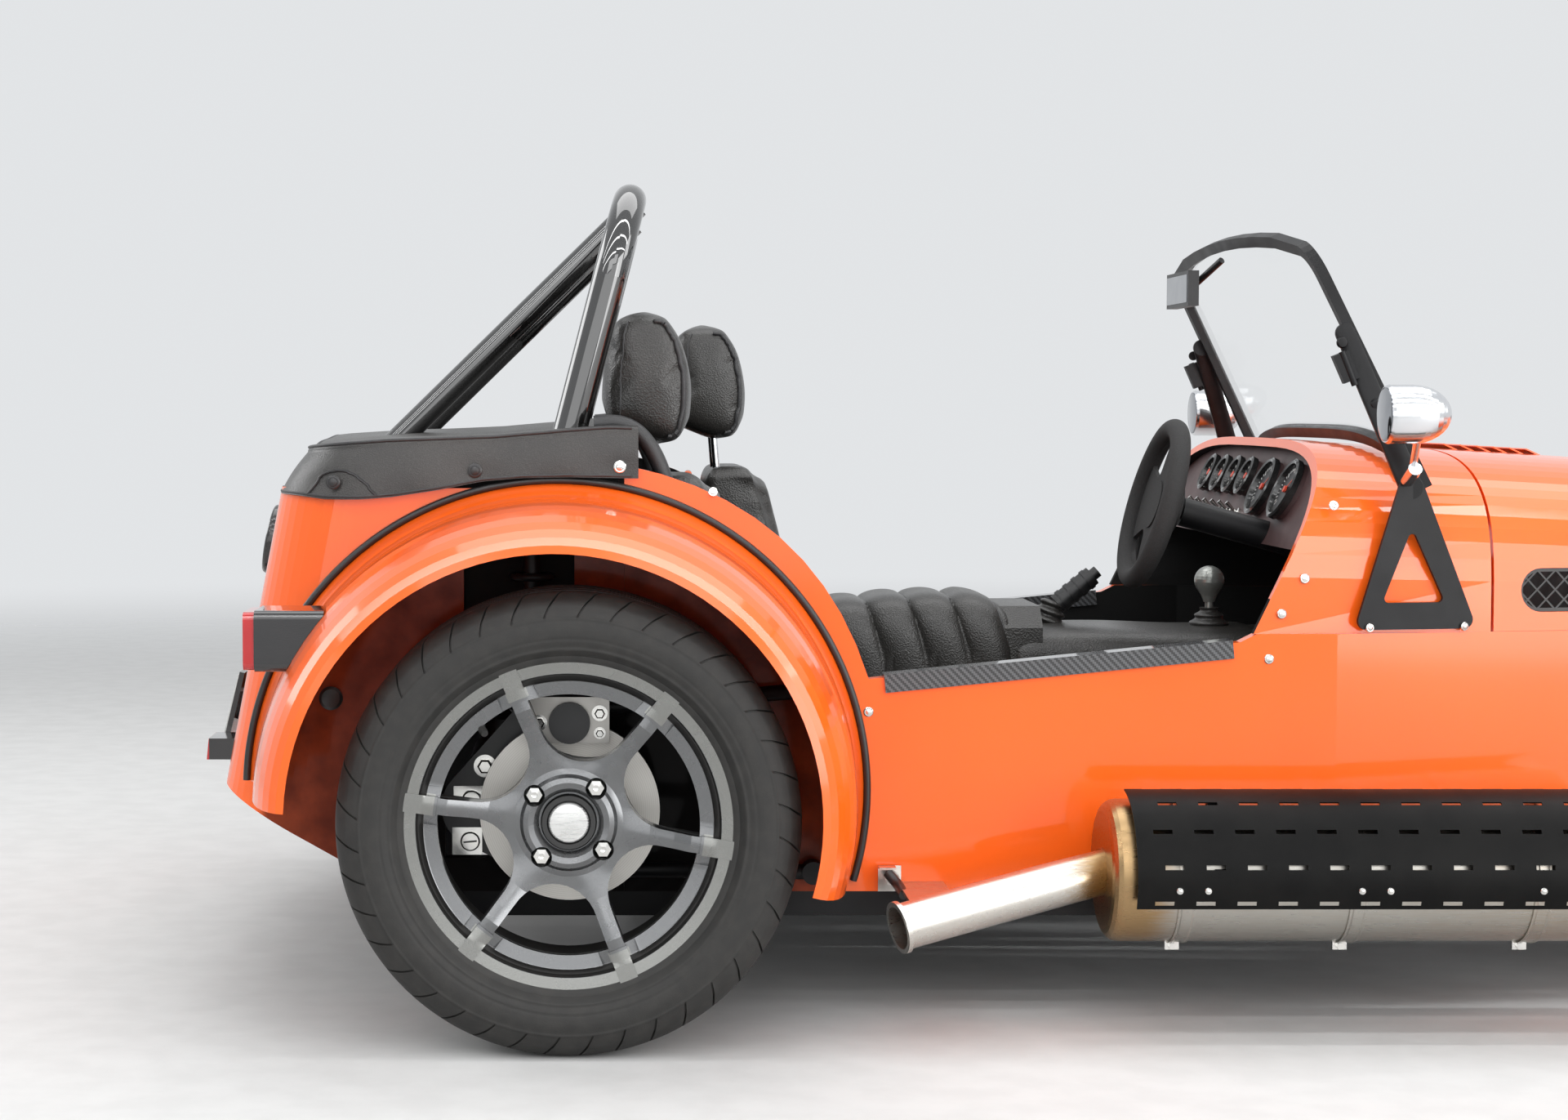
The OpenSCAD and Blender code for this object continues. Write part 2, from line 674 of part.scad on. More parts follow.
module boot_cover() color("black") place() difference() {
    cover_block(cover_t + 4, cover_skirt, cover_top);
    cover_block(4, cover_skirt - 10, cover_top - cover_t);
    translate([bulkhead_x - 35, -body_half - 3, cover_skirt - 10])
        cube([80, 2 * body_half + 6, cover_top - cover_t - cover_skirt + 10]);
    translate([32, -hoop_half - 14, cover_skirt - 10]) cube([120, 2 * hoop_half + 28, 200]);
    translate([wing_x, body_half + 50, wing_z]) rotate([90, 0, 0])
        cylinder(r = wing_root_r + 2, h = 2 * body_half + 100);
    for (side = [-1, 1]) on_side(side) {
        translate([hoop_foot_x, hoop_half, boot_floor_z]) rotate([0, hoop_lean, 0])
            cylinder(r = hoop_r + 1, h = 500);
        bar([hoop_x(hoop_top - 34), stay_y, hoop_top - 34], stay_foot, stay_r + 1, 40);
    }
}

// Seats and controls

module seat(side, shift) {
    y0 = seat_y - seat_w / 2;
    translate([shift, 0, 0]) on_side(side) {
        hull() {
            translate([240, y0, floor_top + seat_gap]) cube([60, seat_w, 60]);
            translate([610, y0 + 20, floor_top + seat_gap]) cube([70, seat_w - 40, 110]);
            translate([250, y0, floor_top + 60]) cube([60, seat_w, 30]);
        }
        hull() {
            translate([215, y0 + 10, floor_top + seat_gap]) cube([90, seat_w - 20, 60]);
            translate([112, y0 + 25, 640]) cube([70, seat_w - 50, 60]);
            translate([120, y0 + 40, 690]) cube([55, seat_w - 80, 25]);
        }
    }
}

module seats() color("black") place() {
    seat(-1, 0);
    seat(1, seat_stagger);
}

module headrest(side, shift) {
    translate([shift, 0, 0]) on_side(side) {
        hull() {
            for (z = [765, 900], y = [-80, 80]) translate([58, seat_y + y, z]) sphere(20, $fn = 20);
            for (z = [775, 898], y = [-80, 80]) translate([105, seat_y + y, z]) sphere(24, $fn = 20);
            translate([128, seat_y - 75, 815]) rotate([-90, 0, 0]) cylinder(r = 30, h = 150, $fn = 24);
        }
        for (y = [-45, 45]) translate([130, seat_y + y, 716 + seat_gap]) rotate([0, -8, 0])
            cylinder(r = 6, h = 70);
    }
}

module headrests() color("black") place() {
    headrest(-1, 0);
    headrest(1, seat_stagger);
}

tunnel_top = 466;
tunnel_t = 12;

pad_rise = 40;
pad_end_x = 680;

// Section of the tunnel: an upturned channel with bevelled shoulders
module tunnel_section(top) {
    bevel = 30;
    outer = [[-tunnel_half, floor_top + seat_gap], [-tunnel_half, top - bevel],
             [-tunnel_half + bevel, top], [tunnel_half - bevel, top],
             [tunnel_half, top - bevel], [tunnel_half, floor_top + seat_gap]];
    inner = tunnel_half - tunnel_t;
    difference() {
        polygon(outer);
        polygon([[-inner, 0], [-inner, top - bevel - 5], [-inner + bevel - 5, top - tunnel_t],
                 [inner - bevel + 5, top - tunnel_t], [inner, top - bevel - 5], [inner, 0]]);
    }
}

module along_x(x0, x1) translate([x0, 0, 0]) rotate([90, 0, 90]) linear_extrude(x1 - x0) children();

module tunnel() color("black") place() {
    x0 = bulkhead_x + seat_gap + 1;
    along_x(x0, pad_end_x) tunnel_section(tunnel_top + pad_rise);
    along_x(pad_end_x - tunnel_t, firewall_x - 2) tunnel_section(tunnel_top);
    translate([pad_end_x - tunnel_t, -tunnel_half + 30, tunnel_top - tunnel_t])
        cube([tunnel_t, 2 * tunnel_half - 60, pad_rise + 6]);
}

module levers() color("dimgray") place() {
    translate([945, 0, tunnel_top + seat_gap]) {
        cylinder(r1 = 30, r2 = 12, h = 22);
        cylinder(r = 6, h = 60);
        rotate_extrude() polygon(concat([[0, 40], [8, 40], [12, 50]], arc(0, 72, 22, -30, 90, 10)));
    }
    translate([700, 30, tunnel_top + seat_gap]) {
        cylinder(r = 18, h = 24);
        bar([0, 0, 14], [84, 0, 84], 9, 0);
        bar([24, 0, 34], [76, 0, 77.3], 15, 0);
        for (i = [0:3]) bar([30 + 12 * i, 0, 39 + 10 * i], [35 + 12 * i, 0, 43.2 + 10 * i], 16.5, 0);
    }
}

module steering_column() color("dimgray") place() column_axis() difference() {
    translate([0, 0, 40]) cylinder(r = sleeve_r, h = 380);
    translate([0, 0, 39]) cylinder(r = 10 + run_gap, h = 90);
}

module steering_wheel() color("black") place() column_axis() {
    rim_section = 14;
    rotate_extrude() translate([steering_r - rim_section, 0]) circle(rim_section);
    difference() {
        translate([0, 0, 2]) cylinder(r = steering_r - rim_section, h = 6);
        for (a = [30, 150, 270]) rotate([0, 0, a]) linear_extrude(20)
            hull() {
                translate([62, 0]) circle(16, $fn = 32);
                translate([86, 34]) circle(7, $fn = 32);
                translate([86, -34]) circle(7, $fn = 32);
            }
    }
    cylinder(r = 34, h = 34);
    cylinder(r = 10, h = 120);
}

module sill_guard(side) on_side(side) {
    run = sill_front_x - sill_rear_x;
    slope = atan((sill_front_z - sill_rear_z) / run);
    difference() {
        translate([sill_rear_x + 20, body_half, sill_rear_z + 20 * tan(slope)]) rotate([0, -slope, 0])
            translate([0, -wall_t - 5, -20]) cube([run / cos(slope) - 30, wall_t + 9, 24]);
        translate([sill_rear_x, body_half, sill_rear_z]) rotate([0, -slope, 0])
            translate([-10, -wall_t - seat_gap, -60])
                cube([run + 40, wall_t + 2 * seat_gap, 60 + seat_gap]);
    }
}

module sill_guards() color("dimgray") place() for (side = [-1, 1]) sill_guard(side);

// Exhaust

silencer_y = -(body_half + 12 + silencer_r);
silencer_z = 208;
silencer_x = 690;
tail_end = [408, silencer_y - 88, 150];

module exhaust() color("silver") place() {
    difference() {
        union() {
            translate([silencer_x, silencer_y, silencer_z]) rotate([0, 90, 0]) rotate_extrude()
                polygon(concat([[0, -14]], arc(silencer_r - 18, 4, 18, -80, 0, 4),
                    arc(silencer_r - 18, silencer_len - 4, 18, 0, 80, 4), [[0, silencer_len + 14]]));
            bar([silencer_x + 10, silencer_y, silencer_z + 4], tail_end, tail_r, 0);
            bar(tail_end + [5.5, 1.7, 1.2], tail_end, tail_r + 4, 0);
            bar([silencer_x + silencer_len - 10, silencer_y, silencer_z],
                [header_x - 30, -half_w(header_x) - 34, silencer_z + 60], 30, 0);
            for (i = [0:3]) {
                x = header_x + 32 + i * 56;
                bar([header_x - 40, -half_w(header_x) - 36, silencer_z + 58 + i],
                    [x, -half_w(x) - 22, header_z - 14], 19, 6);
                bar([x, -half_w(x) - 28, header_z - 16], [x, -engine_half - 3, header_z], 19, 0);
            }
        }
        bar([silencer_x - 40, silencer_y - 12.5, silencer_z - 4.2], tail_end, tail_r - 2, 30);
    }
    hang = tail_end + [20, 40, tail_r + 4];
    translate([hang[0], hang[1] - 10, hang[2] - 14]) cube([60, -body_half - hang[1] + 10 - seat_gap, 6]);
}

shield_r = silencer_r + 13;
shield_t = 2;

module heat_shield() color("black") place() difference() {
    union() {
        translate([silencer_x + 12, silencer_y, silencer_z]) rotate([0, 90, 0]) rotate([0, 0, -175])
            rotate_extrude(angle = 103) translate([shield_r, 0]) square([shield_t, silencer_len - 24]);
        for (x = [silencer_x + 110, silencer_x + silencer_len - 110], a = [-65, -5])
            translate([x, silencer_y, silencer_z]) rotate([a, 0, 0]) translate([0, -shield_r - 1, -8])
                cube([14, shield_r - silencer_r + 0.7, 16]);
    }
    for (i = [0:shield_slots - 1], row = [0:4])
        let (x = silencer_x + 46 + i * (silencer_len - 110) / (shield_slots - 1) + (row % 2) * 12)
        translate([x, silencer_y, silencer_z]) rotate([14 - row * 25, 0, 0])
            translate([-12, -shield_r - 10, -3]) cube([24, 20, 6]);
}

// Engine and drive

engine_half = 150;
engine_x = firewall_x + 25;

module engine() color("dimgray") place() {
    hull() {
        translate([engine_x, -engine_half, 215]) cube([480, 2 * engine_half, 250]);
        translate([engine_x + 20, -engine_half + 55, 560]) cube([440, 2 * engine_half - 110, 70]);
    }
    translate([engine_x + 20, -engine_half + 40, skin_z + 4]) cube([430, 2 * engine_half - 80, 70]);
}

diff_half = 105;
shaft_y0 = diff_half + 30;

module driveline() color("dimgray") place() {
    gearbox_x = firewall_x - 370;
    translate([gearbox_x, 0, 290]) rotate([0, 90, 0])
        cylinder(r1 = 62, r2 = 88, h = firewall_x - gearbox_x);
    translate([firewall_x, 0, 290]) rotate([0, 90, 0]) cylinder(r1 = 112, r2 = 124, h = 25 - seat_gap);
    translate([gearbox_x - 180, 0, 290]) rotate([0, 90, 0]) cylinder(r = 50, h = 200);
    translate([150, 0, 288]) rotate([0, 90, 0]) cylinder(r = 26, h = gearbox_x - 310);
    hull() {
        translate([-55, -70, wheel_z - 80]) cube([140, 140, 160]);
        translate([170, 0, 288]) rotate([0, 90, 0]) cylinder(r = 40, h = 4, $fn = 32);
    }
    translate([0, diff_half + 20, wheel_z]) rotate([90, 0, 0]) cylinder(r = 46, h = 2 * diff_half + 40);
}

module fuel_tank() color("dimgray") place()
    translate([-400, -300, 300]) hull() {
        cube([180, 600, boot_floor_z - 15 - 300 - seat_gap]);
        translate([20, 20, -40]) cube([140, 560, 40]);
    }

// Rear axle

ear_y = rear_track / 2 - 93;
ear_t = 14;

caliper_gap = 6;
caliper_t = 14;
caliper_half = disc_t / 2 + caliper_gap + caliper_t;

// A brake caliper over the top of a disc whose middle is at y, with the wheel's axis at the origin
module caliper(y) {
    for (a = [-1, 1]) translate([-50, y + a * (caliper_half - caliper_t / 2) - caliper_t / 2, 88])
        cube([100, caliper_t, 58]);
    translate([-50, y - caliper_half, disc_r + caliper_gap])
        cube([100, 2 * caliper_half, 146 - disc_r - caliper_gap]);
    translate([0, y + caliper_half - 1, 114]) rotate([-90, 0, 0]) cylinder(r = 26, h = 11);
}

module de_dion_axle() color("black") place() {
    translate([axle_tube_x, ear_y + ear_t, wheel_z]) rotate([90, 0, 0])
        cylinder(r = 36, h = 2 * (ear_y + ear_t));
    both_sides() {
        difference() {
            union() {
                plate(ear_y, ear_y + ear_t) hull() {
                    translate([axle_tube_x, wheel_z]) circle(52, $fn = 32);
                    translate([0, wheel_z]) circle(62, $fn = 32);
                    translate([-30, wheel_z + 140]) circle(20, $fn = 32);
                    translate([-30, wheel_z - 75]) circle(20, $fn = 32);
                }
                translate([0, ear_y + ear_t + 12, wheel_z]) rotate([90, 0, 0]) cylinder(r = 40, h = 40);
            }
            translate([0, ear_y + 100, wheel_z]) rotate([90, 0, 0])
                cylinder(r = spindle_r + run_gap, h = 200);
        }
        translate([0, 0, wheel_z]) caliper(rear_track / 2 - 56);
        translate([-48, ear_y + ear_t - 1, wheel_z + 92]) cube([60, 13, 44]);
    }
}

damper_x = -50;
damper_y = rear_track / 2 - 135;
rod_x = 316;

module spring_damper(p, q, r, turns) {
    d = q - p;
    flat = norm([d[0], d[1]]);
    translate(p) rotate([0, atan2(flat, d[2]), atan2(d[1], d[0])]) {
        cylinder(r = 11, h = norm(d));
        translate([0, 0, norm(d) * 0.12]) cylinder(r = r * 0.62, h = norm(d) * 0.42);
        for (i = [0:turns - 1]) translate([0, 0, norm(d) * (0.28 + 0.62 * i / (turns - 1))])
            rotate_extrude() translate([r - 5, 0]) circle(5, $fn = 24);
        translate([0, 0, norm(d) * 0.26]) cylinder(r = r, h = 6);
        translate([0, 0, norm(d) * 0.91]) cylinder(r = r, h = 6);
        for (i = [0:turns - 1]) translate([0, 0, norm(d) * (0.28 + 0.62 * i / (turns - 1))])
            cylinder(r = r - 4, h = 3, center = true);
    }
}

module rear_suspension() color("black") place() both_sides() {
    spring_damper([damper_x, damper_y, wheel_z - 70], [damper_x, damper_y, tower_z1], 29, 9);
    translate([damper_x - 14, body_half + seat_gap, tower_z1 - 14])
        cube([28, damper_y - body_half + 10, 28]);
    translate([damper_x - 10, damper_y - 10, wheel_z - 80])
        cube([20, ear_y - damper_y + 10 - seat_gap, 20]);
    for (z = [[wheel_z + 120, wheel_z + 142], [wheel_z - 84, wheel_z - 96]]) {
        bar([-30, ear_y - 14, z[0]], [rod_x, body_half + 14, z[1]], 10, 0);
        translate([-30, ear_y - seat_gap, z[0]]) rotate([90, 0, 0]) cylinder(r = 15, h = 28);
        translate([rod_x, body_half + 28, z[1]]) rotate([90, 0, 0]) cylinder(r = 15, h = 28 - seat_gap);
    }
}

// Front axle

king_y = front_track / 2 - 80;
king_r = 9;

module wishbone(z_in, z_out, pin) {
    for (dx = [-wishbone_reach, wishbone_reach]) {
        bar([wheelbase, king_y - 6, z_out], [wheelbase + dx, wishbone_y + 16, z_in], 10, 0);
        translate([wheelbase + dx - 16, wishbone_y + 16, z_in]) rotate([0, 90, 0])
            cylinder(r = 16 - seat_gap, h = 32);
    }
    translate([wheelbase, king_y, z_out - 12]) cylinder(r = 14, h = 24);
    translate([wheelbase, king_y, pin > 0 ? z_out : z_out - 40]) cylinder(r = king_r, h = 40);
}

module front_suspension() color("black") place() both_sides() {
    wishbone(low_arm_z, wheel_z - 100, 1);
    wishbone(high_arm_z, wheel_z + 100, -1);
    spring_damper([wheelbase, king_y - 90, wheel_z - 92],
        [wheelbase, wishbone_y + 30, high_arm_z + 68], 26, 8);
    translate([wheelbase - 20, king_y - 110, wheel_z - 100]) cube([40, 40, 14]);
    for (dx = [-1, 1]) bar([wheelbase + dx * 18, king_y - 90, wheel_z - 93],
        [wheelbase + dx * 40, king_y - 98, wheel_z - 94], 8, 0);
    translate([wheelbase - 16, wishbone_y + seat_gap, high_arm_z + 50]) cube([32, 46, 26]);
}

rack_dx = 80;
rack_z = wheel_z - 30;
arm_t = 10;

module steering_rack() color("silver") place() difference() {
    union() {
        translate([wheelbase + rack_dx, 190, rack_z - 20]) rotate([90, 0, 0]) cylinder(r = 22, h = 380);
        for (y = [-150, 150])
            translate([wheelbase + rack_dx - 16, y - 12, floor_z + front_frame_w + seat_gap])
                cube([32, 24, rack_z - 20 - floor_z - front_frame_w]);
    }
    translate([wheelbase + rack_dx, 200, rack_z - 20]) rotate([90, 0, 0])
        cylinder(r = 9 + run_gap, h = 400);
}

module track_rods() color("silver") place() {
    translate([wheelbase + rack_dx, king_y - 10, rack_z - 20]) rotate([90, 0, 0])
        cylinder(r = 9, h = 2 * (king_y - 10));
    both_sides() translate([wheelbase + rack_dx, king_y - 10, rack_z - 30]) cylinder(r = 14, h = 20);
}

module upright(side) color("dimgray") place() on_side(side) {
    difference() {
        union() {
            translate([wheelbase, king_y, wheel_z - 85]) cylinder(r = 14, h = 170);
            translate([wheelbase, king_y, wheel_z]) rotate([-90, 0, 0]) cylinder(r = 34, h = 26);
            translate([wheelbase - 14, king_y - 14, rack_z]) cube([rack_dx + 26, 28, arm_t]);
        }
        translate([wheelbase, king_y, wheel_z - 120]) cylinder(r = king_r + run_gap, h = 240);
    }
    translate([wheelbase, king_y + 20, wheel_z]) rotate([-90, 0, 0]) cylinder(r = spindle_r, h = 58);
    front_caliper();
    wing_stays();
}

module front_caliper() {
    translate([wheelbase, 0, wheel_z]) rotate([0, -90, 0]) caliper(front_track / 2 - 56);
    translate([wheelbase - 120, king_y - 8, wheel_z - 30]) cube([120, 20, 60]);
}

cycle_r = tyre_r + 18;
cycle_half = 106;

stay_knee_x = 118;
stay_knee_z = wheel_z + 44;

// Two stays that carry the wing: level from the upright, under the upper wishbone, then up outside its reach
module wing_stays() {
    y = front_track / 2 - 118;
    for (a = [60, 130]) {
        foot = [wheelbase + 6 * sign(cos(a)), king_y - 8, stay_knee_z];
        knee = [wheelbase + stay_knee_x * sign(cos(a)), y, stay_knee_z];
        tip = [wheelbase + (cycle_r - 2) * cos(a), y, wheel_z + (cycle_r - 2) * sin(a)];
        bar(foot, knee, 8, 3);
        bar(knee, tip, 7, 0);
    }
}

module front_wing(side) color("orangered") place() on_side(side) {
    section = function(drop) [for (i = [0:12]) let (u = -1 + i / 6)
        [cycle_r + 16 - drop - 16 * pow(abs(u), 3), u * (cycle_half + 10 - drop)]];
    translate([wheelbase, front_track / 2 - 20, wheel_z]) rotate([90, 0, 0]) rotate([0, 0, 40])
        mirror([0, 0, 1]) rotate_extrude(angle = 150) polygon(concat(section(0), flip(section(wing_t))));
}

module upright_right() upright(-1);
module upright_left() upright(1);
module front_wing_right() front_wing(-1);
module front_wing_left() front_wing(1);

// Wheels, drawn with their axis along Z and the outside up

flange_r = rim_r + 17.5;

module wheel_at(x, y, side) translate([x, side * y, wheel_z]) rotate([side > 0 ? -90 : 90, 0, 0])
    children();

module tyre() {
    bead = rim_r + seat_gap;
    half = tyre_w / 2;
    rim_half = rim_w / 2;
    outer = [[bead, rim_half - 20], [bead, rim_half - 8 - seat_gap],
        [flange_r + seat_gap, rim_half - 8 - seat_gap], [flange_r + seat_gap, rim_half + 2],
        [lerp(flange_r, tyre_r, 0.2), half - 4], [lerp(flange_r, tyre_r, 0.42), half],
        [lerp(flange_r, tyre_r, 0.62), half - 2], [lerp(flange_r, tyre_r, 0.8), half - 7],
        [tyre_r - 6, half - 16], [tyre_r - 2, half - 26], [tyre_r, half - 42]];
    inner = [[tyre_r - 12, half - 44], [tyre_r - 18, half - 26], [lerp(flange_r, tyre_r, 0.55), half - 12],
        [flange_r + 6, rim_half - 12], [bead + 14, rim_half - 20]];
    far = function(list) [for (p = list) [p[0], -p[1]]];
    rotate_extrude() polygon(concat(outer, flip(far(outer)), far(flip(inner)), inner));
}

ledge_r = rim_r - 30;

// Rim with a flat lip, a groove inside it and a ledge between the spokes
module rim_barrel() {
    h = rim_w / 2;
    difference() {
        rotate_extrude() polygon([[flange_r, -h], [flange_r, -h + 7], [rim_r, -h + 7], [rim_r, -h + 38],
            [rim_r - 15, -h + 52], [rim_r - 15, h - 58], [rim_r, h - 38], [rim_r, h - 7], [flange_r, h - 7],
            [flange_r, h - 1], [flange_r - 2, h], [rim_r - 4, h - 3], [rim_r - 6, h - 14],
            [rim_r - 12, h - 14], [rim_r - 13, h - 8], [ledge_r, h - 12], [ledge_r, h - 24],
            [rim_r - 22, h - 34], [rim_r - 22, -h + 50], [rim_r - 10, -h + 20], [rim_r - 8, -h]]);
        for (i = [0:spokes - 1], side = [-1, 1]) rotate(360 * (i + 0.5) / spokes)
            translate([ledge_r - 4, side * (spoke_w / 2 + 7) - 7, h - 13]) cube([25, 14, 30]);
    }
}

hub_r = 77;
window_r = rim_r - 15;
stud_circle = 108;
mount_face = 5;

// A window between two spokes: round towards the hub, an arc along the rim, with small rounded corners
module window() {
    half_angle = 180 / spokes;
    r = 57 * 6 / spokes;
    spread = half_angle - asin((spoke_w / 2 + 6) / (window_r - 6));
    corner = (window_r - 6) * [cos(spread), sin(spread)];
    upper = arc(corner[0], corner[1], 6, spread, spread + 100, 4);
    polygon(concat(arc(hub_r + r, 0, r, 117, 243, 14), [for (p = flip(upper)) [p[0], -p[1]]],
        arc(0, 0, window_r, -spread * 0.75, spread * 0.75, 6), upper));
}

// Six spokes dished in towards a hub with a round collar, each ending in a raised pad on the rim's lip
module spoke_disc() {
    h = rim_w / 2;
    difference() {
        rotate_extrude() polygon([[0, mount_face], [hub_r, mount_face], [hub_r + 10, 24],
            [rim_r - 20, h - 42], [rim_r - 20, h - 6], [ledge_r - 10, h - 6], [130, h - 16], [100, h - 27],
            [hub_r - 10, h - 33], [60, h - 32], [56, h - 27], [50, h - 25], [43, h - 27], [38, h - 33],
            [37, h - 45], [0, h - 45]]);
        for (i = [0:spokes - 1]) rotate(360 * i / spokes) translate([0, 0, -50])
            linear_extrude(200) window();
        for (i = [0:3]) rotate(90 * i + 30) translate([stud_circle / 2, 0, mount_face + 16])
            cylinder(r = 13, h = 60);
    }
    for (i = [0:spokes - 1]) rotate(360 * (i + 0.5) / spokes) translate([0, spoke_w / 2 + 1.5, 0])
        rotate([90, 0, 0]) linear_extrude(spoke_w + 3)
            polygon([[ledge_r + 2, h - 18], [rim_r - 2, h - 18], [rim_r - 2, h - 6], [flange_r - 3, h - 5],
                     [flange_r - 3, h + 1], [ledge_r + 2, h - 3]]);
}

module brake_disc(bore) difference() {
    union() {
        translate([0, 0, -56 - disc_t / 2]) cylinder(r = disc_r, h = disc_t);
        translate([0, 0, -56]) cylinder(r = 68, h = 56 + mount_face - seat_gap);
    }
    translate([0, 0, -70]) cylinder(r = 58, h = 64);
    if (bore) translate([0, 0, -70]) cylinder(r = spindle_r + run_gap, h = 80);
}

spoke_phase = 21.5;

module rear_wheel(side) color("slategray") place() wheel_at(0, rear_track / 2, side) rotate(spoke_phase) {
    rim_barrel();
    spoke_disc();
    brake_disc(false);
    translate([0, 0, shaft_y0 - rear_track / 2]) cylinder(r = 14, h = rear_track / 2 - shaft_y0);
    translate([0, 0, -140]) cylinder(r = spindle_r, h = 140);
    translate([0, 0, shaft_y0 - rear_track / 2]) cylinder(r = 44, h = 50);
}

module front_wheel(side) color("slategray") place() wheel_at(wheelbase, front_track / 2, side)
    rotate(spoke_phase) {
    rim_barrel();
    spoke_disc();
    difference() {
        union() {
            brake_disc(true);
            translate([0, 0, -44]) cylinder(r = 36, h = 44);
        }
        translate([0, 0, -80]) cylinder(r = spindle_r + run_gap, h = 82);
    }
}

module wheel_rear_right() rear_wheel(-1);
module wheel_rear_left() rear_wheel(1);
module wheel_front_right() front_wheel(-1);
module wheel_front_left() front_wheel(1);
module tyre_rear_right() color("black") place() wheel_at(0, rear_track / 2, -1) tyre();
module tyre_rear_left() color("black") place() wheel_at(0, rear_track / 2, 1) tyre();
module tyre_front_right() color("black") place() wheel_at(wheelbase, front_track / 2, -1) tyre();
module tyre_front_left() color("black") place() wheel_at(wheelbase, front_track / 2, 1) tyre();

// Lamps

lamp_x = nose_joint_x - 62;
lamp_y = 392;
lamp_z = 656;
lamp_r = 89;

module headlamps() color("black") place() both_sides() {
    translate([lamp_x, lamp_y, lamp_z]) rotate([0, 90, 0]) rotate_extrude()
        polygon(concat([[0, -90]], [for (a = [-80:10:0]) [84 * cos(a), 10 + 100 * sin(a)]],
            [[lamp_r, 10], [lamp_r, 34], [lamp_r - 8, 40]],
            [for (a = [10:20:90]) [(lamp_r - 8) * cos(a), 40 + 16 * sin(a)]]));
    bar([lamp_x, lamp_y, lamp_z - 70], [lamp_x - 10, lamp_y - 20, lamp_z - 150], 11, 10);
    bar([lamp_x - 10, lamp_y - 20, lamp_z - 150],
        [lamp_x - 10, half_w(lamp_x - 10) + 8, lamp_z - 175], 11, 0);
    on_taper() translate([(lamp_x - 34 - taper_x) / cos(atan(taper)), seat_gap, lamp_z - 205])
        cube([48, 6, 60]);
}

tail_x = -389;
tail_w = 104;
tail_h = 76;
tail_z = 468;
tail_lens = 14;
fog_z = 314;
fog_h = 29;
fog_w = 72;
fog_y = 300;
rear_tilt = atan(rear_lean / (tub_top - tub_tail_z));

// Place along the car of the rear panel's outside at a height
function rear_face_x(z) = -tub_back - corner_r * (1 / cos(rear_tilt) - 1) - (tub_top - z) * tan(rear_tilt);

// A tail lamp on the crown of the rear wing, its foot cut to the wing's curve, with a raised lens behind
module tail_lamp() {
    difference() {
        translate([tail_x, wing_crown_y - tail_w / 2 + 46, tail_z]) rotate([90, 0, 90]) linear_extrude(86)
            rounded(tail_w, tail_h, 10);
        translate([wing_x, 0, wing_z]) rotate([90, 0, 0]) mirror([0, 0, 1])
            rotate_extrude() polygon(concat([[0, body_half]],
                [for (p = wing_outer(-seat_gap)) [p[1], p[0]]], [[0, wing_half]]));
    }
    translate([tail_x - tail_lens, wing_crown_y - tail_w / 2 + 48, tail_z + 2]) rotate([90, 0, 90])
        linear_extrude(tail_lens + 1) rounded(tail_w - 4, tail_h - 4, 9);
}

// A small square lamp under the tail, cut to lie against the leaning rear panel
module fog_lamp() plate(fog_y - fog_w / 2, fog_y + fog_w / 2)
    polygon([[tub_end_x - fog_reach, fog_z], [rear_face_x(fog_z) - seat_gap, fog_z],
             [rear_face_x(fog_z + fog_h) - seat_gap, fog_z + fog_h],
             [tub_end_x - fog_reach + 3, fog_z + fog_h]]);

module tail_lamps() color("black") place() both_sides() {
    tail_lamp();
    fog_lamp();
}

filler_r = 48;
filler_t = 16;
filler_y = -290;
filler_z = 612;

module filler_cap() color("black") place()
    translate([rear_face_x(filler_z), filler_y, filler_z]) rotate([0, -90 + rear_tilt, 0])
        translate([0, 0, seat_gap]) difference() {
            rotate_extrude() polygon(concat([[0, 0], [filler_r, 0]],
                arc(filler_r - 5, filler_t - 5, 5, 0, 90, 4), [[0, filler_t]]));
            for (a = [0:60:300]) rotate(a)
                translate([filler_r * 0.62, 0, filler_t - 3]) cylinder(r = 5, h = 10);
        }

chassis_frame();
floor_pan();
side_panel_right();
side_panel_left();
rear_tub();
rear_wings();
scuttle();
dashboard();
bonnet();
nose_cone();
grille();
radiator();
windscreen_frame();
windscreen_glass();
mirrors();
roll_bar();
boot_cover();
seats();
headrests();
tunnel();
levers();
steering_column();
sill_guards();
exhaust();
heat_shield();
engine();
driveline();
fuel_tank();
de_dion_axle();
rear_suspension();
front_suspension();
steering_rack();
headlamps();
tail_lamps();
filler_cap();
track_rods();
upright_right();
upright_left();
front_wing_right();
front_wing_left();
steering_wheel();
tyre_rear_right();
tyre_rear_left();
tyre_front_right();
tyre_front_left();
wheel_rear_right();
wheel_rear_left();
wheel_front_right();
wheel_front_left();
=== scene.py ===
# %% [markdown]
# # An open two-seat sports car, dressed over its CAD frame
# The frame holds every hard part of the car at its real size: body panels, wheels, suspension, exhaust.
# This lesson gives each part its finish and adds what is soft, small or fine: leather, tyre tread, beading,
# dials and fasteners. Each step says what the piece is on the real car and why it is made the way it is.

# %% Load the frame and measure it
import json
import math
import bmesh
import bpy
import numpy as np
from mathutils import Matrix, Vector
from mathutils.bvhtree import BVHTree


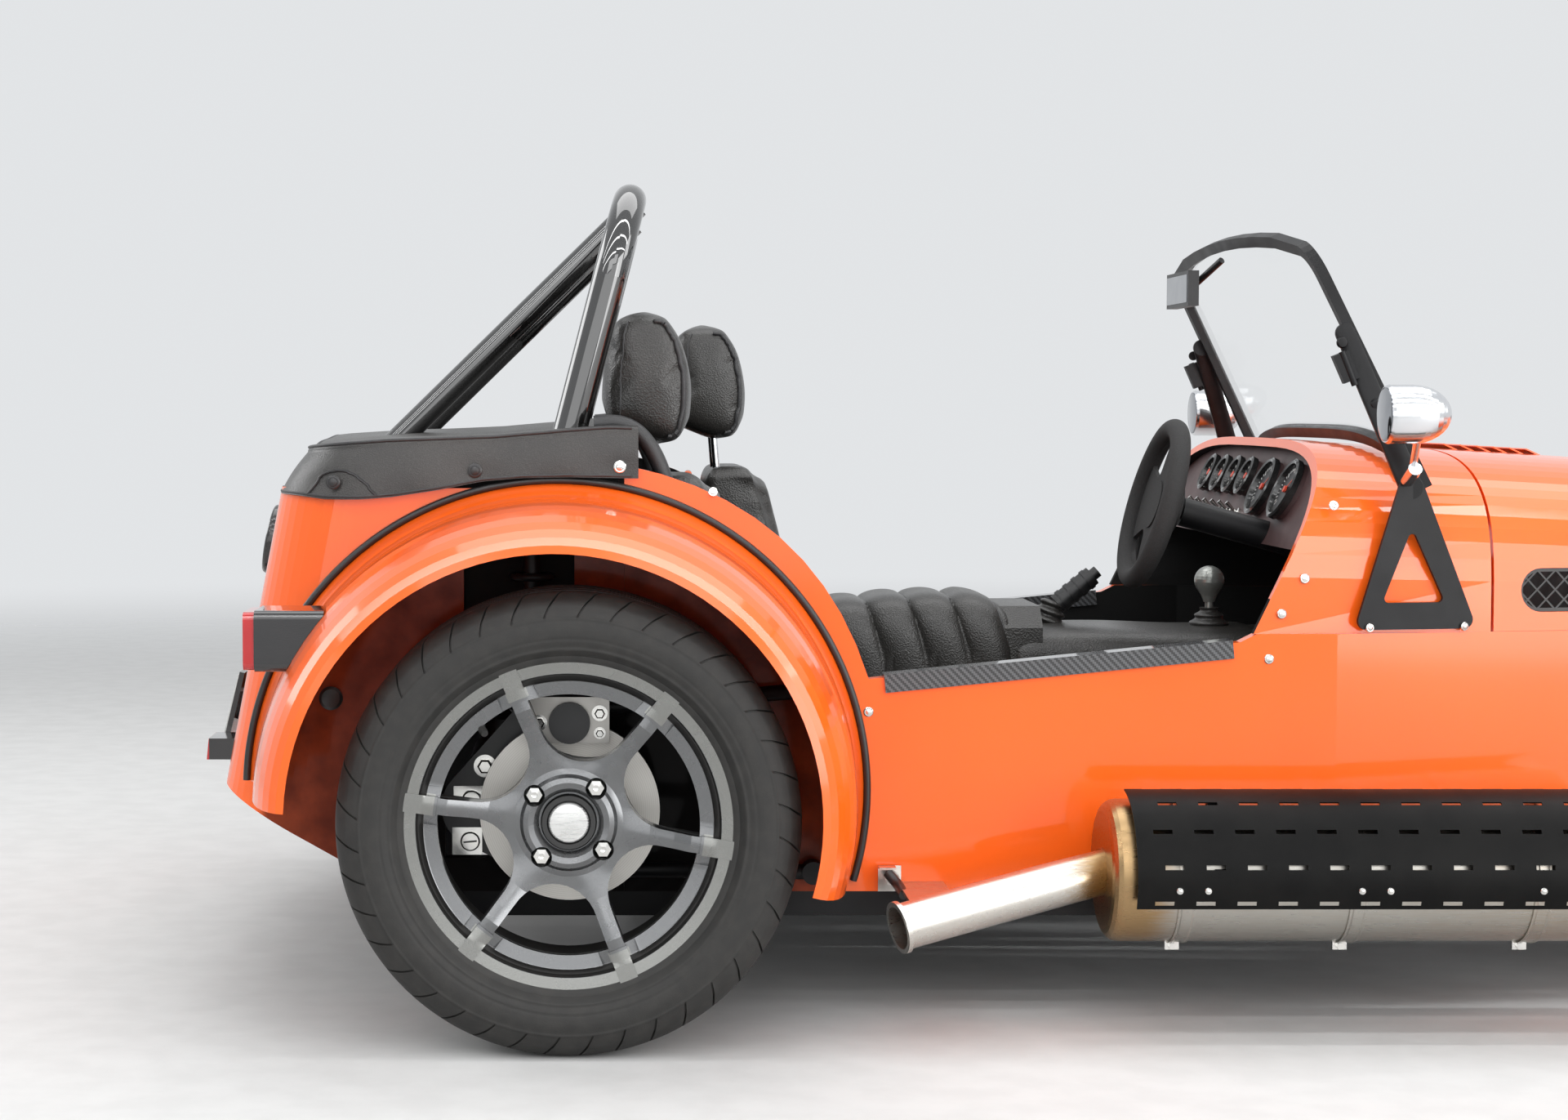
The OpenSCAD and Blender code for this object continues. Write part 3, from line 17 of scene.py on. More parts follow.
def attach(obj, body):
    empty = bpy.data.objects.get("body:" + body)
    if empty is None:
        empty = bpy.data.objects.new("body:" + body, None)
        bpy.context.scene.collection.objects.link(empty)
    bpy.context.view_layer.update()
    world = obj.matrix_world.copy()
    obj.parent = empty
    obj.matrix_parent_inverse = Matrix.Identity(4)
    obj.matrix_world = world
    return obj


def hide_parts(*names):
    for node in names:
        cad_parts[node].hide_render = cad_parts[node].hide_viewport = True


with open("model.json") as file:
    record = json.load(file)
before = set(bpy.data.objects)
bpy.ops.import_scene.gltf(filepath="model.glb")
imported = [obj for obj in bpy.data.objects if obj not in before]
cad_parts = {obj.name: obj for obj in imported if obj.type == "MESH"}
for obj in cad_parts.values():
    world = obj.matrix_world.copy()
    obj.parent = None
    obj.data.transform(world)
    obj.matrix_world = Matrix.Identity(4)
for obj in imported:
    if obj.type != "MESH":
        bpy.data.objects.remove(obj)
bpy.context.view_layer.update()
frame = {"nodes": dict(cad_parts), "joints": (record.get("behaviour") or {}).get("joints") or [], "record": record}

nodes = frame["nodes"]
joints = {j["name"]: j for j in frame["joints"]}
rear_hub = np.array(joints["spin_rear_right"]["pos_m"])
front_hub = np.array(joints["spin_front_right"]["pos_m"])
axle_x = rear_hub[0]
wing_x, wing_z = axle_x - 0.018, 0.295
bonnet_x = axle_x + 1.0

# %% [markdown]
# ## Camera and light
# The photograph was taken from the car's right side, about four metres out, at chest height and a little
# ahead of the rear wheel. The lens points square to the car, and the picture is framed off to one side of the
# lens's axis, which is what the sensor shift does. Distances are counted from the rear axle, as the
# photograph shows it best.

# %% Camera
camera_ahead_of_axle = 0.0386
camera_out = 4.003
camera_height = 0.793
camera_pitch = math.radians(3.209)
camera_data = bpy.data.cameras.new("camera")
camera_data.sensor_width = 36.0
camera_data.lens = 61.875
camera_data.shift_x = 0.1172
camera = bpy.data.objects.new("camera", camera_data)
camera.location = (axle_x + camera_ahead_of_axle, -camera_out, camera_height)
camera.rotation_euler = (math.radians(90) - camera_pitch, 0, 0)
bpy.context.scene.collection.objects.link(camera)
bpy.context.scene.camera = camera
bpy.context.scene.view_settings.view_transform = "Standard"
print("camera at", [round(v, 3) for v in camera.location])

# %% [markdown]
# A studio for a car has a wide softbox overhead and weaker fills from the sides. Three long, narrow strips
# hang over the right side and draw the bright lines along the crown of the wing, the scuttle and the bonnet.
# A panel like a window stands ahead on that side, and the world fills the shadows.


# %% Lamps and world
def soft_lamp(name, place, target, size, power):
    """A rectangular white lamp at place that faces target."""
    data = bpy.data.lights.new(name, "AREA")
    data.shape = "RECTANGLE"
    data.size, data.size_y = size
    data.energy = power
    lamp = bpy.data.objects.new(name, data)
    lamp.location = place
    lamp.rotation_euler = (Vector(target) - Vector(place)).to_track_quat("-Z", "Y").to_euler()
    lamp.visible_camera = False
    bpy.context.scene.collection.objects.link(lamp)
    print("lamp", name, power, "W")


soft_lamp("overhead", (0.0, 0.8, 4.2), (0, 0, 0.4), (5.5, 2.4), 95)
for number, (out, high) in enumerate(((-1.2, 3.6), (-2.4, 3.4), (-3.8, 3.1))):
    soft_lamp(f"strip_{number}", (0.0, out, high), (0, 0, 0.5), (12.0, 0.16), 66)
soft_lamp("window", (3.4, -4.4, 1.3), (0, 0, 0.9), (3.2, 2.6), 120)
soft_lamp("right_fill", (-0.5, -7.0, 1.25), (-0.5, 0, 0.6), (11.0, 2.2), 94)
soft_lamp("high_fill", (-0.8, -6.0, 2.9), (-0.8, 0, 0.3), (5.0, 1.2), 50)
soft_lamp("rear_fill", (-5.0, 1.5, 2.4), (-1, 0, 0.5), (2.5, 2.0), 60)
soft_lamp("front_fill", (5.0, -1.5, 2.4), (1, 0, 0.5), (2.5, 2.0), 60)
world = bpy.data.worlds.new("studio")
bpy.context.scene.world = world
world.use_nodes = True
backdrop = world.node_tree.nodes["Background"].inputs
backdrop["Color"].default_value = (0.93, 0.95, 0.97, 1)

# %% [markdown]
# ## A small language for finishes
# A finish is a tree of shader nodes. Written by hand that is dozens of lines of links, so one class wraps a
# socket: adding, scaling or comparing two of them adds the Math node that does it, and `node` makes any other
# node from its type, its settings and the values or links of its sockets.


# %% The finish language
class Field:
    """One output socket of a node tree, on which + - * / ** and abs add Math nodes."""

    def __init__(self, tree, socket=None):
        self.tree = tree
        self.socket = socket

    def node(self, kind, settings=None, out=0, **sockets):
        """Adds a node: its settings first, then each socket's value or link. Returns the output asked for.

        A socket goes by its name, with _ for a space, or by its number, as i0, where names repeat.
        """
        made = self.tree.nodes.new("ShaderNode" + kind)
        for key, value in (settings or {}).items():
            setattr(made, key, value)
        for key, value in sockets.items():
            index = int(key[1:]) if key[0] == "i" and key[1:].isdigit() else key.replace("_", " ")
            self.join(value, made.inputs[index])
        return Field(self.tree, made.outputs[out])

    def join(self, value, target):
        """Puts a value or another field into an input socket."""
        if isinstance(value, Field):
            self.tree.links.new(value.socket, target)
        elif isinstance(value, (tuple, list)) and target.type == "RGBA" and len(value) == 3:
            target.default_value = (*value, 1)
        else:
            target.default_value = value

    def maths(self, operation, other=0.0, swap=False):
        first, second = (other, self) if swap else (self, other)
        return self.node("Math", {"operation": operation}, i0=first, i1=second)

    def __add__(self, other): return self.maths("ADD", other)
    def __radd__(self, other): return self.maths("ADD", other)
    def __sub__(self, other): return self.maths("SUBTRACT", other)
    def __rsub__(self, other): return self.maths("SUBTRACT", other, True)
    def __mul__(self, other): return self.maths("MULTIPLY", other)
    def __rmul__(self, other): return self.maths("MULTIPLY", other)
    def __truediv__(self, other): return self.maths("DIVIDE", other)
    def __rtruediv__(self, other): return self.maths("DIVIDE", other, True)
    def __pow__(self, other): return self.maths("POWER", other)
    def __abs__(self): return self.maths("ABSOLUTE")
    def above(self, other): return self.maths("GREATER_THAN", other)
    def below(self, other): return self.maths("LESS_THAN", other)
    def most(self, other): return self.maths("MAXIMUM", other)

    def step(self, low, high):
        """A smooth climb from 0 at low to 1 at high."""
        settings = {"interpolation_type": "SMOOTHSTEP"}
        return self.node("MapRange", settings, Value=self, From_Min=low, From_Max=high)

    def between(self, first, second):
        """Mixes two colours by this field."""
        return self.node("Mix", {"data_type": "RGBA"}, out=2, i0=self, i6=first, i7=second)

    def noise(self, scale, detail):
        """Noise of about 0.5 at these coordinates, with scale patches to a metre."""
        return self.node("TexNoise", Vector=self, Scale=scale, Detail=detail, Roughness=0.5)

    def stretched(self, scale):
        """The same coordinates with each axis scaled, which draws a pattern out along one of them."""
        return self.node("Mapping", {"vector_type": "POINT"}, Vector=self, Scale=scale)

    def parts(self):
        """The three components of a vector."""
        made = self.node("SeparateXYZ", Vector=self)
        return [Field(self.tree, s) for s in made.socket.node.outputs]


# %% Materials and bumps
def finish(name, recipe, **constants):
    """A material: constants go on the shader's own sockets, and recipe(field, put) adds what varies."""
    material = bpy.data.materials.new(name)
    material.use_nodes = True
    tree = material.node_tree
    shader = tree.nodes["Principled BSDF"]
    field = Field(tree)
    for key, value in constants.items():
        field.join(value, shader.inputs[key.replace("_", " ")])
    place = field.node("TexCoord", out="Object")
    recipe(place, lambda key, value: field.join(value, shader.inputs[key]))
    print("finish", name, len(tree.nodes), "nodes")
    return material


def bump(field, height, strength, distance, **under):
    """A normal that follows a height field, in metres of relief, over another normal where one is given."""
    return field.node("Bump", Strength=strength, Distance=distance, Height=height, **under)


# %% [markdown]
# With that language the world can answer each kind of ray differently: it lights surfaces at one level, and
# shows the camera a plain pale backdrop. Rays that a mirror or glass sends on see that backdrop too, so that
# metal reflects it.

# %% World light
sky = Field(world.node_tree)
rays = [sky.node("LightPath", out=kind) for kind in ("Is Camera Ray", "Is Glossy Ray", "Is Transmission Ray")]
pale = rays[0].most(rays[1]).most(rays[2])
sky.join(0.44 + pale * 0.38, backdrop["Strength"])
print("the world has", len(world.node_tree.nodes), "nodes")

# %% [markdown]
# ## Paint
# The body is a solid orange under a clear coat. A perfectly even coat looks like plastic, so a very fine
# noise bends the normal, as orange peel does on real paint, and a slow noise shifts the colour a little.
# The coat mirrors the room and the paint below it hardly does, which keeps the orange deep.


# %% Orange paint
def lacquer(place):
    """The orange itself, in two near tones that drift slowly along a panel."""
    return place.noise(3.0, 2.0).step(0.3, 0.7).between((0.89, 0.117, 0.007), (0.94, 0.130, 0.009))


def peel(place):
    """The normal of sprayed paint, with a very fine ripple."""
    return bump(place, place.noise(420.0, 1.0), 0.12, 0.0006)


def orange_recipe(place, put):
    put("Base Color", lacquer(place))
    put("Roughness", 0.34 + place.noise(60.0, 2.0) * 0.08)
    put("Normal", peel(place))


under_coat = 0.15
paint = finish("orange_paint", orange_recipe, Coat_Weight=0.9, Coat_Roughness=0.09,
               Specular_IOR_Level=under_coat)

# %% [markdown]
# ## Metals, plastics and glass
# Each hard finish is one recipe: powder coat has a fine pebble, brushed steel has lines along one axis, cast
# metal has a coarse skin. The scale of the pattern is in real units, because Object coordinates are metres.


# %% Hard finishes
def pebbled(colour, other, rough, scale=900.0, depth=0.0004):
    """A recipe for a painted or moulded surface: two near tones, a fine pebble and patchy gloss."""
    def recipe(place, put):
        put("Base Color", place.noise(14.0, 4.0).step(0.3, 0.7).between(colour, other))
        put("Roughness", rough + (place.noise(25.0, 3.0) - 0.5) * 0.18)
        put("Normal", bump(place, place.noise(scale, 2.0), 0.25, depth))
    return recipe


def brushed(colour, other, rough, stretch=(1, 1, 1)):
    """A recipe for brushed metal: noise stretched along one axis shifts tone and gloss."""
    def recipe(place, put):
        lines = place.stretched(stretch).noise(40.0, 4.0)
        put("Base Color", lines.step(0.3, 0.7).between(colour, other))
        put("Roughness", rough + (lines - 0.5) * 0.25)
        put("Normal", bump(place, lines, 0.15, 0.0003))
    return recipe


sheet_tones = ((0.34, 0.35, 0.36), (0.44, 0.45, 0.46))
sheet_lines = (1, 12, 12)
black_coat = finish("black_powder_coat", pebbled((0.006, 0.006, 0.0065), (0.010, 0.010, 0.011), 0.40),
                    Specular_IOR_Level=0.22)
floor_sheet = finish("floor_sheet", brushed(*sheet_tones, 0.45, sheet_lines), Metallic=0.9)
dash_skin = finish("dash_skin", pebbled((0.055, 0.030, 0.030), (0.080, 0.044, 0.044), 0.5, 500.0, 0.0008))
core_fins = finish("radiator_fins", brushed((0.05, 0.05, 0.052), (0.14, 0.14, 0.145), 0.5, (1, 1, 30)),
                   Metallic=0.8)
mesh_black = finish("grille_mesh", pebbled((0.012, 0.012, 0.012), (0.02, 0.02, 0.02), 0.4))
chrome = finish("chrome", brushed((0.70, 0.71, 0.73), (0.76, 0.77, 0.79), 0.15), Metallic=1.0)
lever_metal = finish("lever_metal", brushed((0.28, 0.29, 0.30), (0.36, 0.37, 0.38), 0.35, (1, 8, 1)),
                     Metallic=0.85)
cast_metal = finish("cast_metal", pebbled((0.20, 0.20, 0.205), (0.30, 0.30, 0.31), 0.5, 350.0, 0.001),
                    Metallic=0.7)
lamp_black = finish("lamp_black", pebbled((0.012, 0.012, 0.012), (0.016, 0.016, 0.016), 0.22, 300.0, 0.0002),
                    Coat_Weight=0.4)
shield_black = finish("shield_black", pebbled((0.003, 0.003, 0.003), (0.006, 0.0058, 0.0055), 0.42, 700.0),
                      Specular_IOR_Level=0.10)
bar_pebble = pebbled((0.003, 0.003, 0.003), (0.005, 0.005, 0.005), 0.3, 300.0, 0.00002)
bar_black = finish("roll_bar_black", bar_pebble, Specular_IOR_Level=0.1, Coat_Weight=1.0, Coat_Roughness=0.03,
                   Coat_IOR=2.0)


def glass_recipe(place, put):
    put("Roughness", 0.02 + place.noise(6.0, 3.0).step(0.55, 0.8) * 0.03)


screen_glass = finish("screen_glass", glass_recipe, Base_Color=(0.97, 0.99, 0.98), Transmission_Weight=1.0,
                      IOR=1.02, Specular_IOR_Level=0.6, Alpha=0.14)

# %% [markdown]
# Stainless steel near an engine turns straw where it has been hot. A band along the car's length shifts the
# tint from the headers, which run hottest, back to the silencer, and the weld where the tailpipe leaves the
# can is brown again.

# %% Exhaust steel
can_end = 0.69


def exhaust_recipe(place, put):
    lines = place.stretched((1, 14, 14)).noise(30.0, 4.0)
    along = place.parts()[0] - axle_x
    weld = 1.0 - abs(along - can_end).step(0.01, 0.085)
    straw = (lines * 0.5 + along.step(0.9, 1.9) * 0.6 + weld * 0.7).step(0.2, 0.9)
    steel = along.step(can_end - 0.03, can_end + 0.03).between((0.60, 0.58, 0.54), (0.44, 0.425, 0.39))
    put("Base Color", straw.between(steel, (0.36, 0.24, 0.12)))
    put("Roughness", 0.20 + lines * 0.2)
    put("Normal", bump(place, lines, 0.1, 0.0003))


exhaust_steel = finish("exhaust_steel", exhaust_recipe, Metallic=1.0)

# %% [markdown]
# The sill guards are woven carbon under lacquer. A 2/2 twill is a product of stripes: the warp shows where
# the sum of the two thread counts falls in the first half of a step of four, the weft elsewhere.

# %% Carbon weave
thread = 0.0025


def carbon_recipe(place, put):
    x, y, z = place.parts()
    count = (x / thread).maths("FLOOR") + ((z + y) / thread).maths("FLOOR")
    warp = (count * 0.25).maths("FRACT").below(0.49)
    put("Base Color", warp.between((0.012, 0.012, 0.013), (0.075, 0.078, 0.083)))
    put("Roughness", 0.28 + warp * 0.15)


carbon = finish("carbon_weave", carbon_recipe, Coat_Weight=1.0, Coat_Roughness=0.03)

# %% [markdown]
# Leather and vinyl share a grain: cells with soft creases between them, about two millimetres across, with
# finer noise on top. Rubber is duller and has a dusting on its flanks.


# %% Leather, vinyl and rubber
def grained(dark, light, rough, cell, depth):
    """A recipe for leather or vinyl: Voronoi cells for the grain, noise for the hand-worn patches."""
    def recipe(place, put):
        cells = {"feature": "SMOOTH_F1"}
        grain = place.node("TexVoronoi", cells, Vector=place, Scale=1.0 / cell, Smoothness=0.6)
        worn = place.noise(9.0, 4.0)
        put("Base Color", (worn * 0.7 + grain * 0.4).step(0.3, 0.9).between(dark, light))
        put("Roughness", rough + (worn - 0.5) * 0.2 - grain * 0.1)
        put("Normal", bump(place, grain + place.noise(900.0, 2.0) * 0.3, 0.45, depth))
    return recipe


leather = finish("black_leather", grained((0.018, 0.017, 0.016), (0.040, 0.038, 0.035), 0.38, 0.0022, 0.0012))
vinyl = finish("black_vinyl", grained((0.018, 0.017, 0.016), (0.044, 0.041, 0.038), 0.40, 0.0016, 0.0008))
suede = finish("suede", grained((0.010, 0.010, 0.010), (0.024, 0.023, 0.023), 0.85, 0.0012, 0.0010))


def rubber_recipe(place, put):
    dust_and_shade = place.noise(55.0, 5.0)
    put("Base Color", dust_and_shade.step(0.3, 0.8).between((0.012, 0.0115, 0.0105), (0.023, 0.0215, 0.0195)))
    put("Roughness", 0.58 + dust_and_shade * 0.14)
    put("Normal", bump(place, place.noise(500.0, 3.0), 0.3, 0.0006))


rubber = finish("tyre_rubber", rubber_recipe)

# %% [markdown]
# ## Finishes that change across one part
# Some parts of the frame carry two finishes: a wheel holds its steel brake disc, a lamp its lens. Such a
# finish reads the place on the part and mixes two sets of values by a mask that is 0 on one side and 1 on
# the other.


# %% Two-tone finishes
def two_tone(name, mask, first, second, **constants):
    """A finish of two (dark, light, roughness, metallic) sets, the second where mask(x, y, z) is 1."""
    def recipe(place, put):
        m = mask(*place.parts())
        mottle = place.noise(14.0, 4.0).step(0.3, 0.7)
        put("Base Color", m.between(mottle.between(first[0], first[1]), mottle.between(second[0], second[1])))
        put("Roughness", first[2] + m * (second[2] - first[2]) + (place.noise(30.0, 3.0) - 0.5) * 0.12)
        put("Metallic", first[3] + m * (second[3] - first[3]))
        put("Normal", bump(place, place.noise(700.0, 2.0), 0.15, 0.0003))
    return finish(name, recipe, **constants)


satin_black = ((0.006, 0.006, 0.0065), (0.010, 0.010, 0.011), 0.40, 0.0)
gloss_black = ((0.010, 0.010, 0.011), (0.014, 0.014, 0.015), 0.16, 0.0)
caliper_grey = ((0.26, 0.25, 0.235), (0.36, 0.35, 0.33), 0.34, 0.9)
mirror_chrome = ((0.72, 0.73, 0.75), (0.78, 0.79, 0.81), 0.17, 1.0)
grey_knob = ((0.30, 0.31, 0.29), (0.36, 0.37, 0.35), 0.32, 0.6)
red_lens = ((0.42, 0.010, 0.012), (0.50, 0.016, 0.016), 0.10, 0.0)
clear_lens = ((0.62, 0.63, 0.64), (0.74, 0.75, 0.76), 0.08, 0.4)


def on_caliper(x, y, z):
    """1 on the rear calipers, above the hub carriers and inside the wheels."""
    return z.above(0.374) * abs(y).above(0.60) * abs(y).below(0.6375)


def on_red_lens(x, y, z):
    """1 on the lenses of the tail lamps, and on the fog lamp's at the right."""
    return (x.below(axle_x - 0.3895) * z.above(0.46)).most(x.below(axle_x - 0.4965) * y.below(0.0))


own_finish = {
    "roll_bar": bar_black,
    "de_dion_axle": two_tone("axle_finish", on_caliper, satin_black, caliper_grey),
    "mirrors": two_tone("mirror_finish", lambda x, y, z: z.above(0.9), mirror_chrome, satin_black),
    "levers": two_tone("lever_finish", lambda x, y, z: x.above(axle_x + 0.86), satin_black, grey_knob),
    "tail_lamps": two_tone("tail_lamp_finish", on_red_lens, gloss_black, red_lens,
                           Coat_Weight=0.8, Coat_Roughness=0.03),
    "headlamps": two_tone("headlamp_finish", lambda x, y, z: x.above(axle_x + 2.0665), gloss_black,
                          clear_lens, Coat_Weight=0.9, Coat_Roughness=0.02),
}

# %% [markdown]
# A wheel is anthracite lacquer with metal flake. Its lip and the raised pads at the spokes' ends are lighter,
# the brake disc is turned steel, and shade is painted near black into the groove and deep in the barrel. The
# spokes' crown is too slight to need more faces, so a height field bends their normal.

# %% Wheel finishes
spoke_turn = np.radians(51.5)


def wheel_recipe(hub):
    """Anthracite lacquer, grey steel on the brake disc, and painted shade in the groove and deep in the barrel.

    A spoke is crowned: the height falls by 5 mm over 30 mm to each side of its middle line. These lines are
    at spoke_turn plus a multiple of 60 degrees, so r sin(angle to the nearest one) is the distance from it.
    """
    hub_x, hub_y, hub_z = (float(v) for v in hub)

    def recipe(place, put):
        x, y, z = place.parts()
        radius = ((x - hub_x) ** 2 + (z - hub_z) ** 2) ** 0.5
        outboard = abs(y) - abs(hub_y)
        steel = radius.below(0.1185) * outboard.below(0.0045)
        # Painted shade: faces deeper in the barrel than this depth, and the groove, turn near black and dull.
        unshaded_above = 0.028 + radius.step(0.09, 0.155) * 0.034
        groove = radius.above(0.1772) * radius.below(0.1868) * outboard.below(0.0780)
        dust_and_shade = (1.0 - (outboard - unshaded_above).step(-0.016, 0.004)).most(groove) * (1.0 - steel)
        flake = place.noise(1400.0, 1.0).step(0.35, 0.65)
        angle = (z - hub_z).maths("ARCTAN2", x - hub_x) - spoke_turn
        across = radius * (((angle * (3 / np.pi) + 0.5).maths("FRACT") - 0.5) * (np.pi / 3)).maths("SINE")
        pad = radius.above(0.166) * abs(across).below(0.0135)
        on_lip = radius.above(0.1868).most(pad)
        dark_flake = on_lip.between((0.145, 0.148, 0.151), (0.215, 0.217, 0.206))
        light_flake = on_lip.between((0.175, 0.178, 0.182), (0.255, 0.256, 0.244))
        turned = (radius * 2400.0).maths("SINE") * 0.5 + 0.5
        disc = turned.between((0.62, 0.60, 0.56), (0.70, 0.68, 0.64))
        metal = steel.between(flake.between(dark_flake, light_flake), disc)
        put("Base Color", dust_and_shade.between(metal, (0.010, 0.009, 0.008)))
        put("Roughness", 0.27 + steel * 0.12 + dust_and_shade * 0.40 + (place.noise(30.0, 3.0) - 0.5) * 0.08)
        put("Metallic", 0.92 - dust_and_shade * 0.8 - steel * 0.45)
        on_spoke = radius.step(0.055, 0.085) * (1.0 - radius.step(0.176, 0.184)) * (1.0 - steel)
        crown = abs(across).step(0.0, 0.03) * on_spoke
        grain = bump(place, place.noise(700.0, 2.0), 0.08, 0.0003)
        put("Normal", bump(place, crown * -0.005, 1.0, 1.0, Normal=grain))
    return recipe


for end, hub in (("rear", rear_hub), ("front", front_hub)):
    made = finish(f"wheel_{end}_finish", wheel_recipe(hub), Coat_Weight=0.25, Coat_Roughness=0.12)
    own_finish[f"wheel_{end}_right"] = own_finish[f"wheel_{end}_left"] = made

# %% [markdown]
# The body's skins are painted outside and trimmed in black inside. What the rear arch covers is dirty and
# darkened by painted shade, with a painted shadow near black round the hub, and the tub's spring recess is
# painted black as shade. A face inside is told from one outside by its place, or by the way it looks: towards
# the cabin's middle or away from it.

# %% Inside and outside of the body
# The black of the trim, also used for the painted shade in the tub's spring recess.
trim_and_shade_black = (0.006, 0.006, 0.006)
nose_taper = 0.17706
bend_reach = 0.30
bend_slope = math.tan(math.radians(5.0))


def looks(place):
    """The three components of the direction that a face looks in."""
    return place.node("TexCoord", out="Normal").parts()


def trimmed(place):
    """1 on the inside of a body side, which is even in width beside the seats and tapers ahead of them."""
    x, y, z = place.parts()
    half_width = 0.500 - (x - bonnet_x).most(0.0) * nose_taper
    return abs(y).below(half_width - 0.022)


def tub_black(place):
    """1 on the tub's lining, whose faces look in at its middle, and in the recess where the spring stands,
    where the black is painted shade.
    """
    x, y, z = place.parts()
    look_x, look_y, look_z = looks(place)
    lining = (look_x * (x - (axle_x - 0.05)) + look_y * y).below(-0.02)
    shelf = look_z.above(0.5) * abs(y).below(0.476)
    # Painted shade: the recess where the spring stands is painted black, as the shadow inside it.
    along = x.above(axle_x - 0.1395) * x.below(axle_x + 0.0055)
    spring_recess_shade = along * z.above(0.3755) * z.below(0.6555) * abs(y).below(0.4995)
    return lining.most(spring_recess_shade).most(shelf)


# %% Body panels, scuttle and floor
def arch_recipe(inside):
    """Orange lacquer, black trim, and on the tub a painted shade in the spring's recess, where inside(place) is 1.
    Road dirt with painted shade lies on what the wing's arch covers, and round the hub a painted shadow, near
    black.

    A side bends inwards by 10 degrees where the bonnet starts. The height -t (w - |d|)^2 / 2w, with t the
    tangent of half that bend and w its reach, turns the normal evenly over w on both sides, as on a rolled
    sheet.
    """
    def recipe(place, put):
        x, y, z = place.parts()
        black = inside(place)
        from_wing = ((x - wing_x) ** 2 + (z - wing_z) ** 2) ** 0.5
        # Road dirt with painted shade over the arch, and a painted shadow near black round the hub.
        grime_and_shade = (1.0 - from_wing.step(0.380, 0.398)) * (0.65 + place.noise(22.0, 5.0) * 0.5)
        beyond_hub_shadow = (((x - axle_x) ** 2 + (z - rear_hub[2]) ** 2) ** 0.5).step(0.19, 0.27)
        grime_and_shade = grime_and_shade.maths("MINIMUM", 1.0).most(1.0 - beyond_hub_shadow) * (1.0 - black)
        grime_and_shadow_tone = beyond_hub_shadow.between((0.005, 0.004, 0.004), (0.13, 0.019, 0.006))
        put("Base Color", black.between(grime_and_shade.between(lacquer(place), grime_and_shadow_tone), trim_and_shade_black))
        put("Roughness", 0.36 + grime_and_shade * 0.4 + black * 0.3)
        put("Coat Weight", 0.9 - grime_and_shade * 0.8 - black * 0.9)
        near_bend = (bend_reach - abs(x - bonnet_x)).most(0.0)
        roll_height = near_bend ** 2 * (-bend_slope / (2 * bend_reach))
        put("Normal", bump(place, roll_height, 1.0, 1.0, Normal=peel(place)))
    return recipe


def lined_recipe(place, put):
    """Orange lacquer outside and black trim inside, where a face looks back at the cabin's middle line."""
    x, y, z = place.parts()
    look_x, look_y, look_z = looks(place)
    black = (look_y * y + look_z * (z - 0.55)).below(-0.002)
    put("Base Color", black.between(lacquer(place), trim_and_shade_black))
    put("Roughness", 0.36 + black * 0.3)
    put("Coat Weight", 0.9 - black * 0.9)
    put("Normal", peel(place))


def carpeted_recipe(place, put):
    """Bare sheet below and black carpet above, told apart by the way a face looks."""
    carpet = looks(place)[2].above(0.5)
    pile = place.noise(600.0, 3.0)
    sheet = place.stretched(sheet_lines).noise(40.0, 4.0).step(0.3, 0.7).between(*sheet_tones)
    put("Base Color", carpet.between(sheet, pile.between(trim_and_shade_black, (0.014, 0.014, 0.014))))
    put("Roughness", 0.45 + carpet * 0.5)
    put("Metallic", 0.9 - carpet * 0.9)
    put("Normal", bump(place, pile * carpet, 0.5, 0.003))


side_finish = finish("side_panel_finish", arch_recipe(trimmed), Coat_Roughness=0.08,
                     Specular_IOR_Level=under_coat)
own_finish["side_panel_right"] = own_finish["side_panel_left"] = side_finish
own_finish["rear_tub"] = finish("rear_tub_finish", arch_recipe(tub_black), Coat_Roughness=0.08,
                                Specular_IOR_Level=under_coat)
own_finish["scuttle"] = finish("scuttle_finish", lined_recipe, Coat_Roughness=0.06,
                               Specular_IOR_Level=under_coat)
own_finish["floor_pan"] = finish("floor_pan_finish", carpeted_recipe)

# %% [markdown]
# Every part of the frame now gets its finish: its own where it has one, and otherwise that of its material
# slot.

# %% Finishes on the frame's own parts
by_slot = {
    "paint_orange": paint, "steel_black": black_coat, "floor_metal": floor_sheet, "dash_trim": dash_skin,
    "radiator_core": core_fins, "mesh_black": mesh_black, "screen_glass": screen_glass, "carbon": carbon,
    "cover_fabric": vinyl, "seat_leather": leather, "lever_metal": lever_metal, "stainless": exhaust_steel,
    "shield_black": shield_black, "cast_alloy": cast_metal, "lamp_black": lamp_black, "steering_suede": suede,
    "tyre_rubber": rubber,
}
for part in frame["record"]["subparts"]:
    node = part["node"]
    mesh = nodes[node].data
    mesh.materials.clear()
    mesh.materials.append(own_finish[node] if node in own_finish else by_slot[part["material_slot"]])
print(len(nodes), "nodes have finishes")

# %% [markdown]
# ## Surfaces from formulas
# Every new piece is a surface: a grid of points that a formula gives for two parameters. The first helpers
# turn such grids into closed meshes and draw curves. Others come where they are first needed: one spins a
# profile about an axis, one sweeps a circle along a path, and one lays out many boxes at once. All of them
# work on whole arrays.


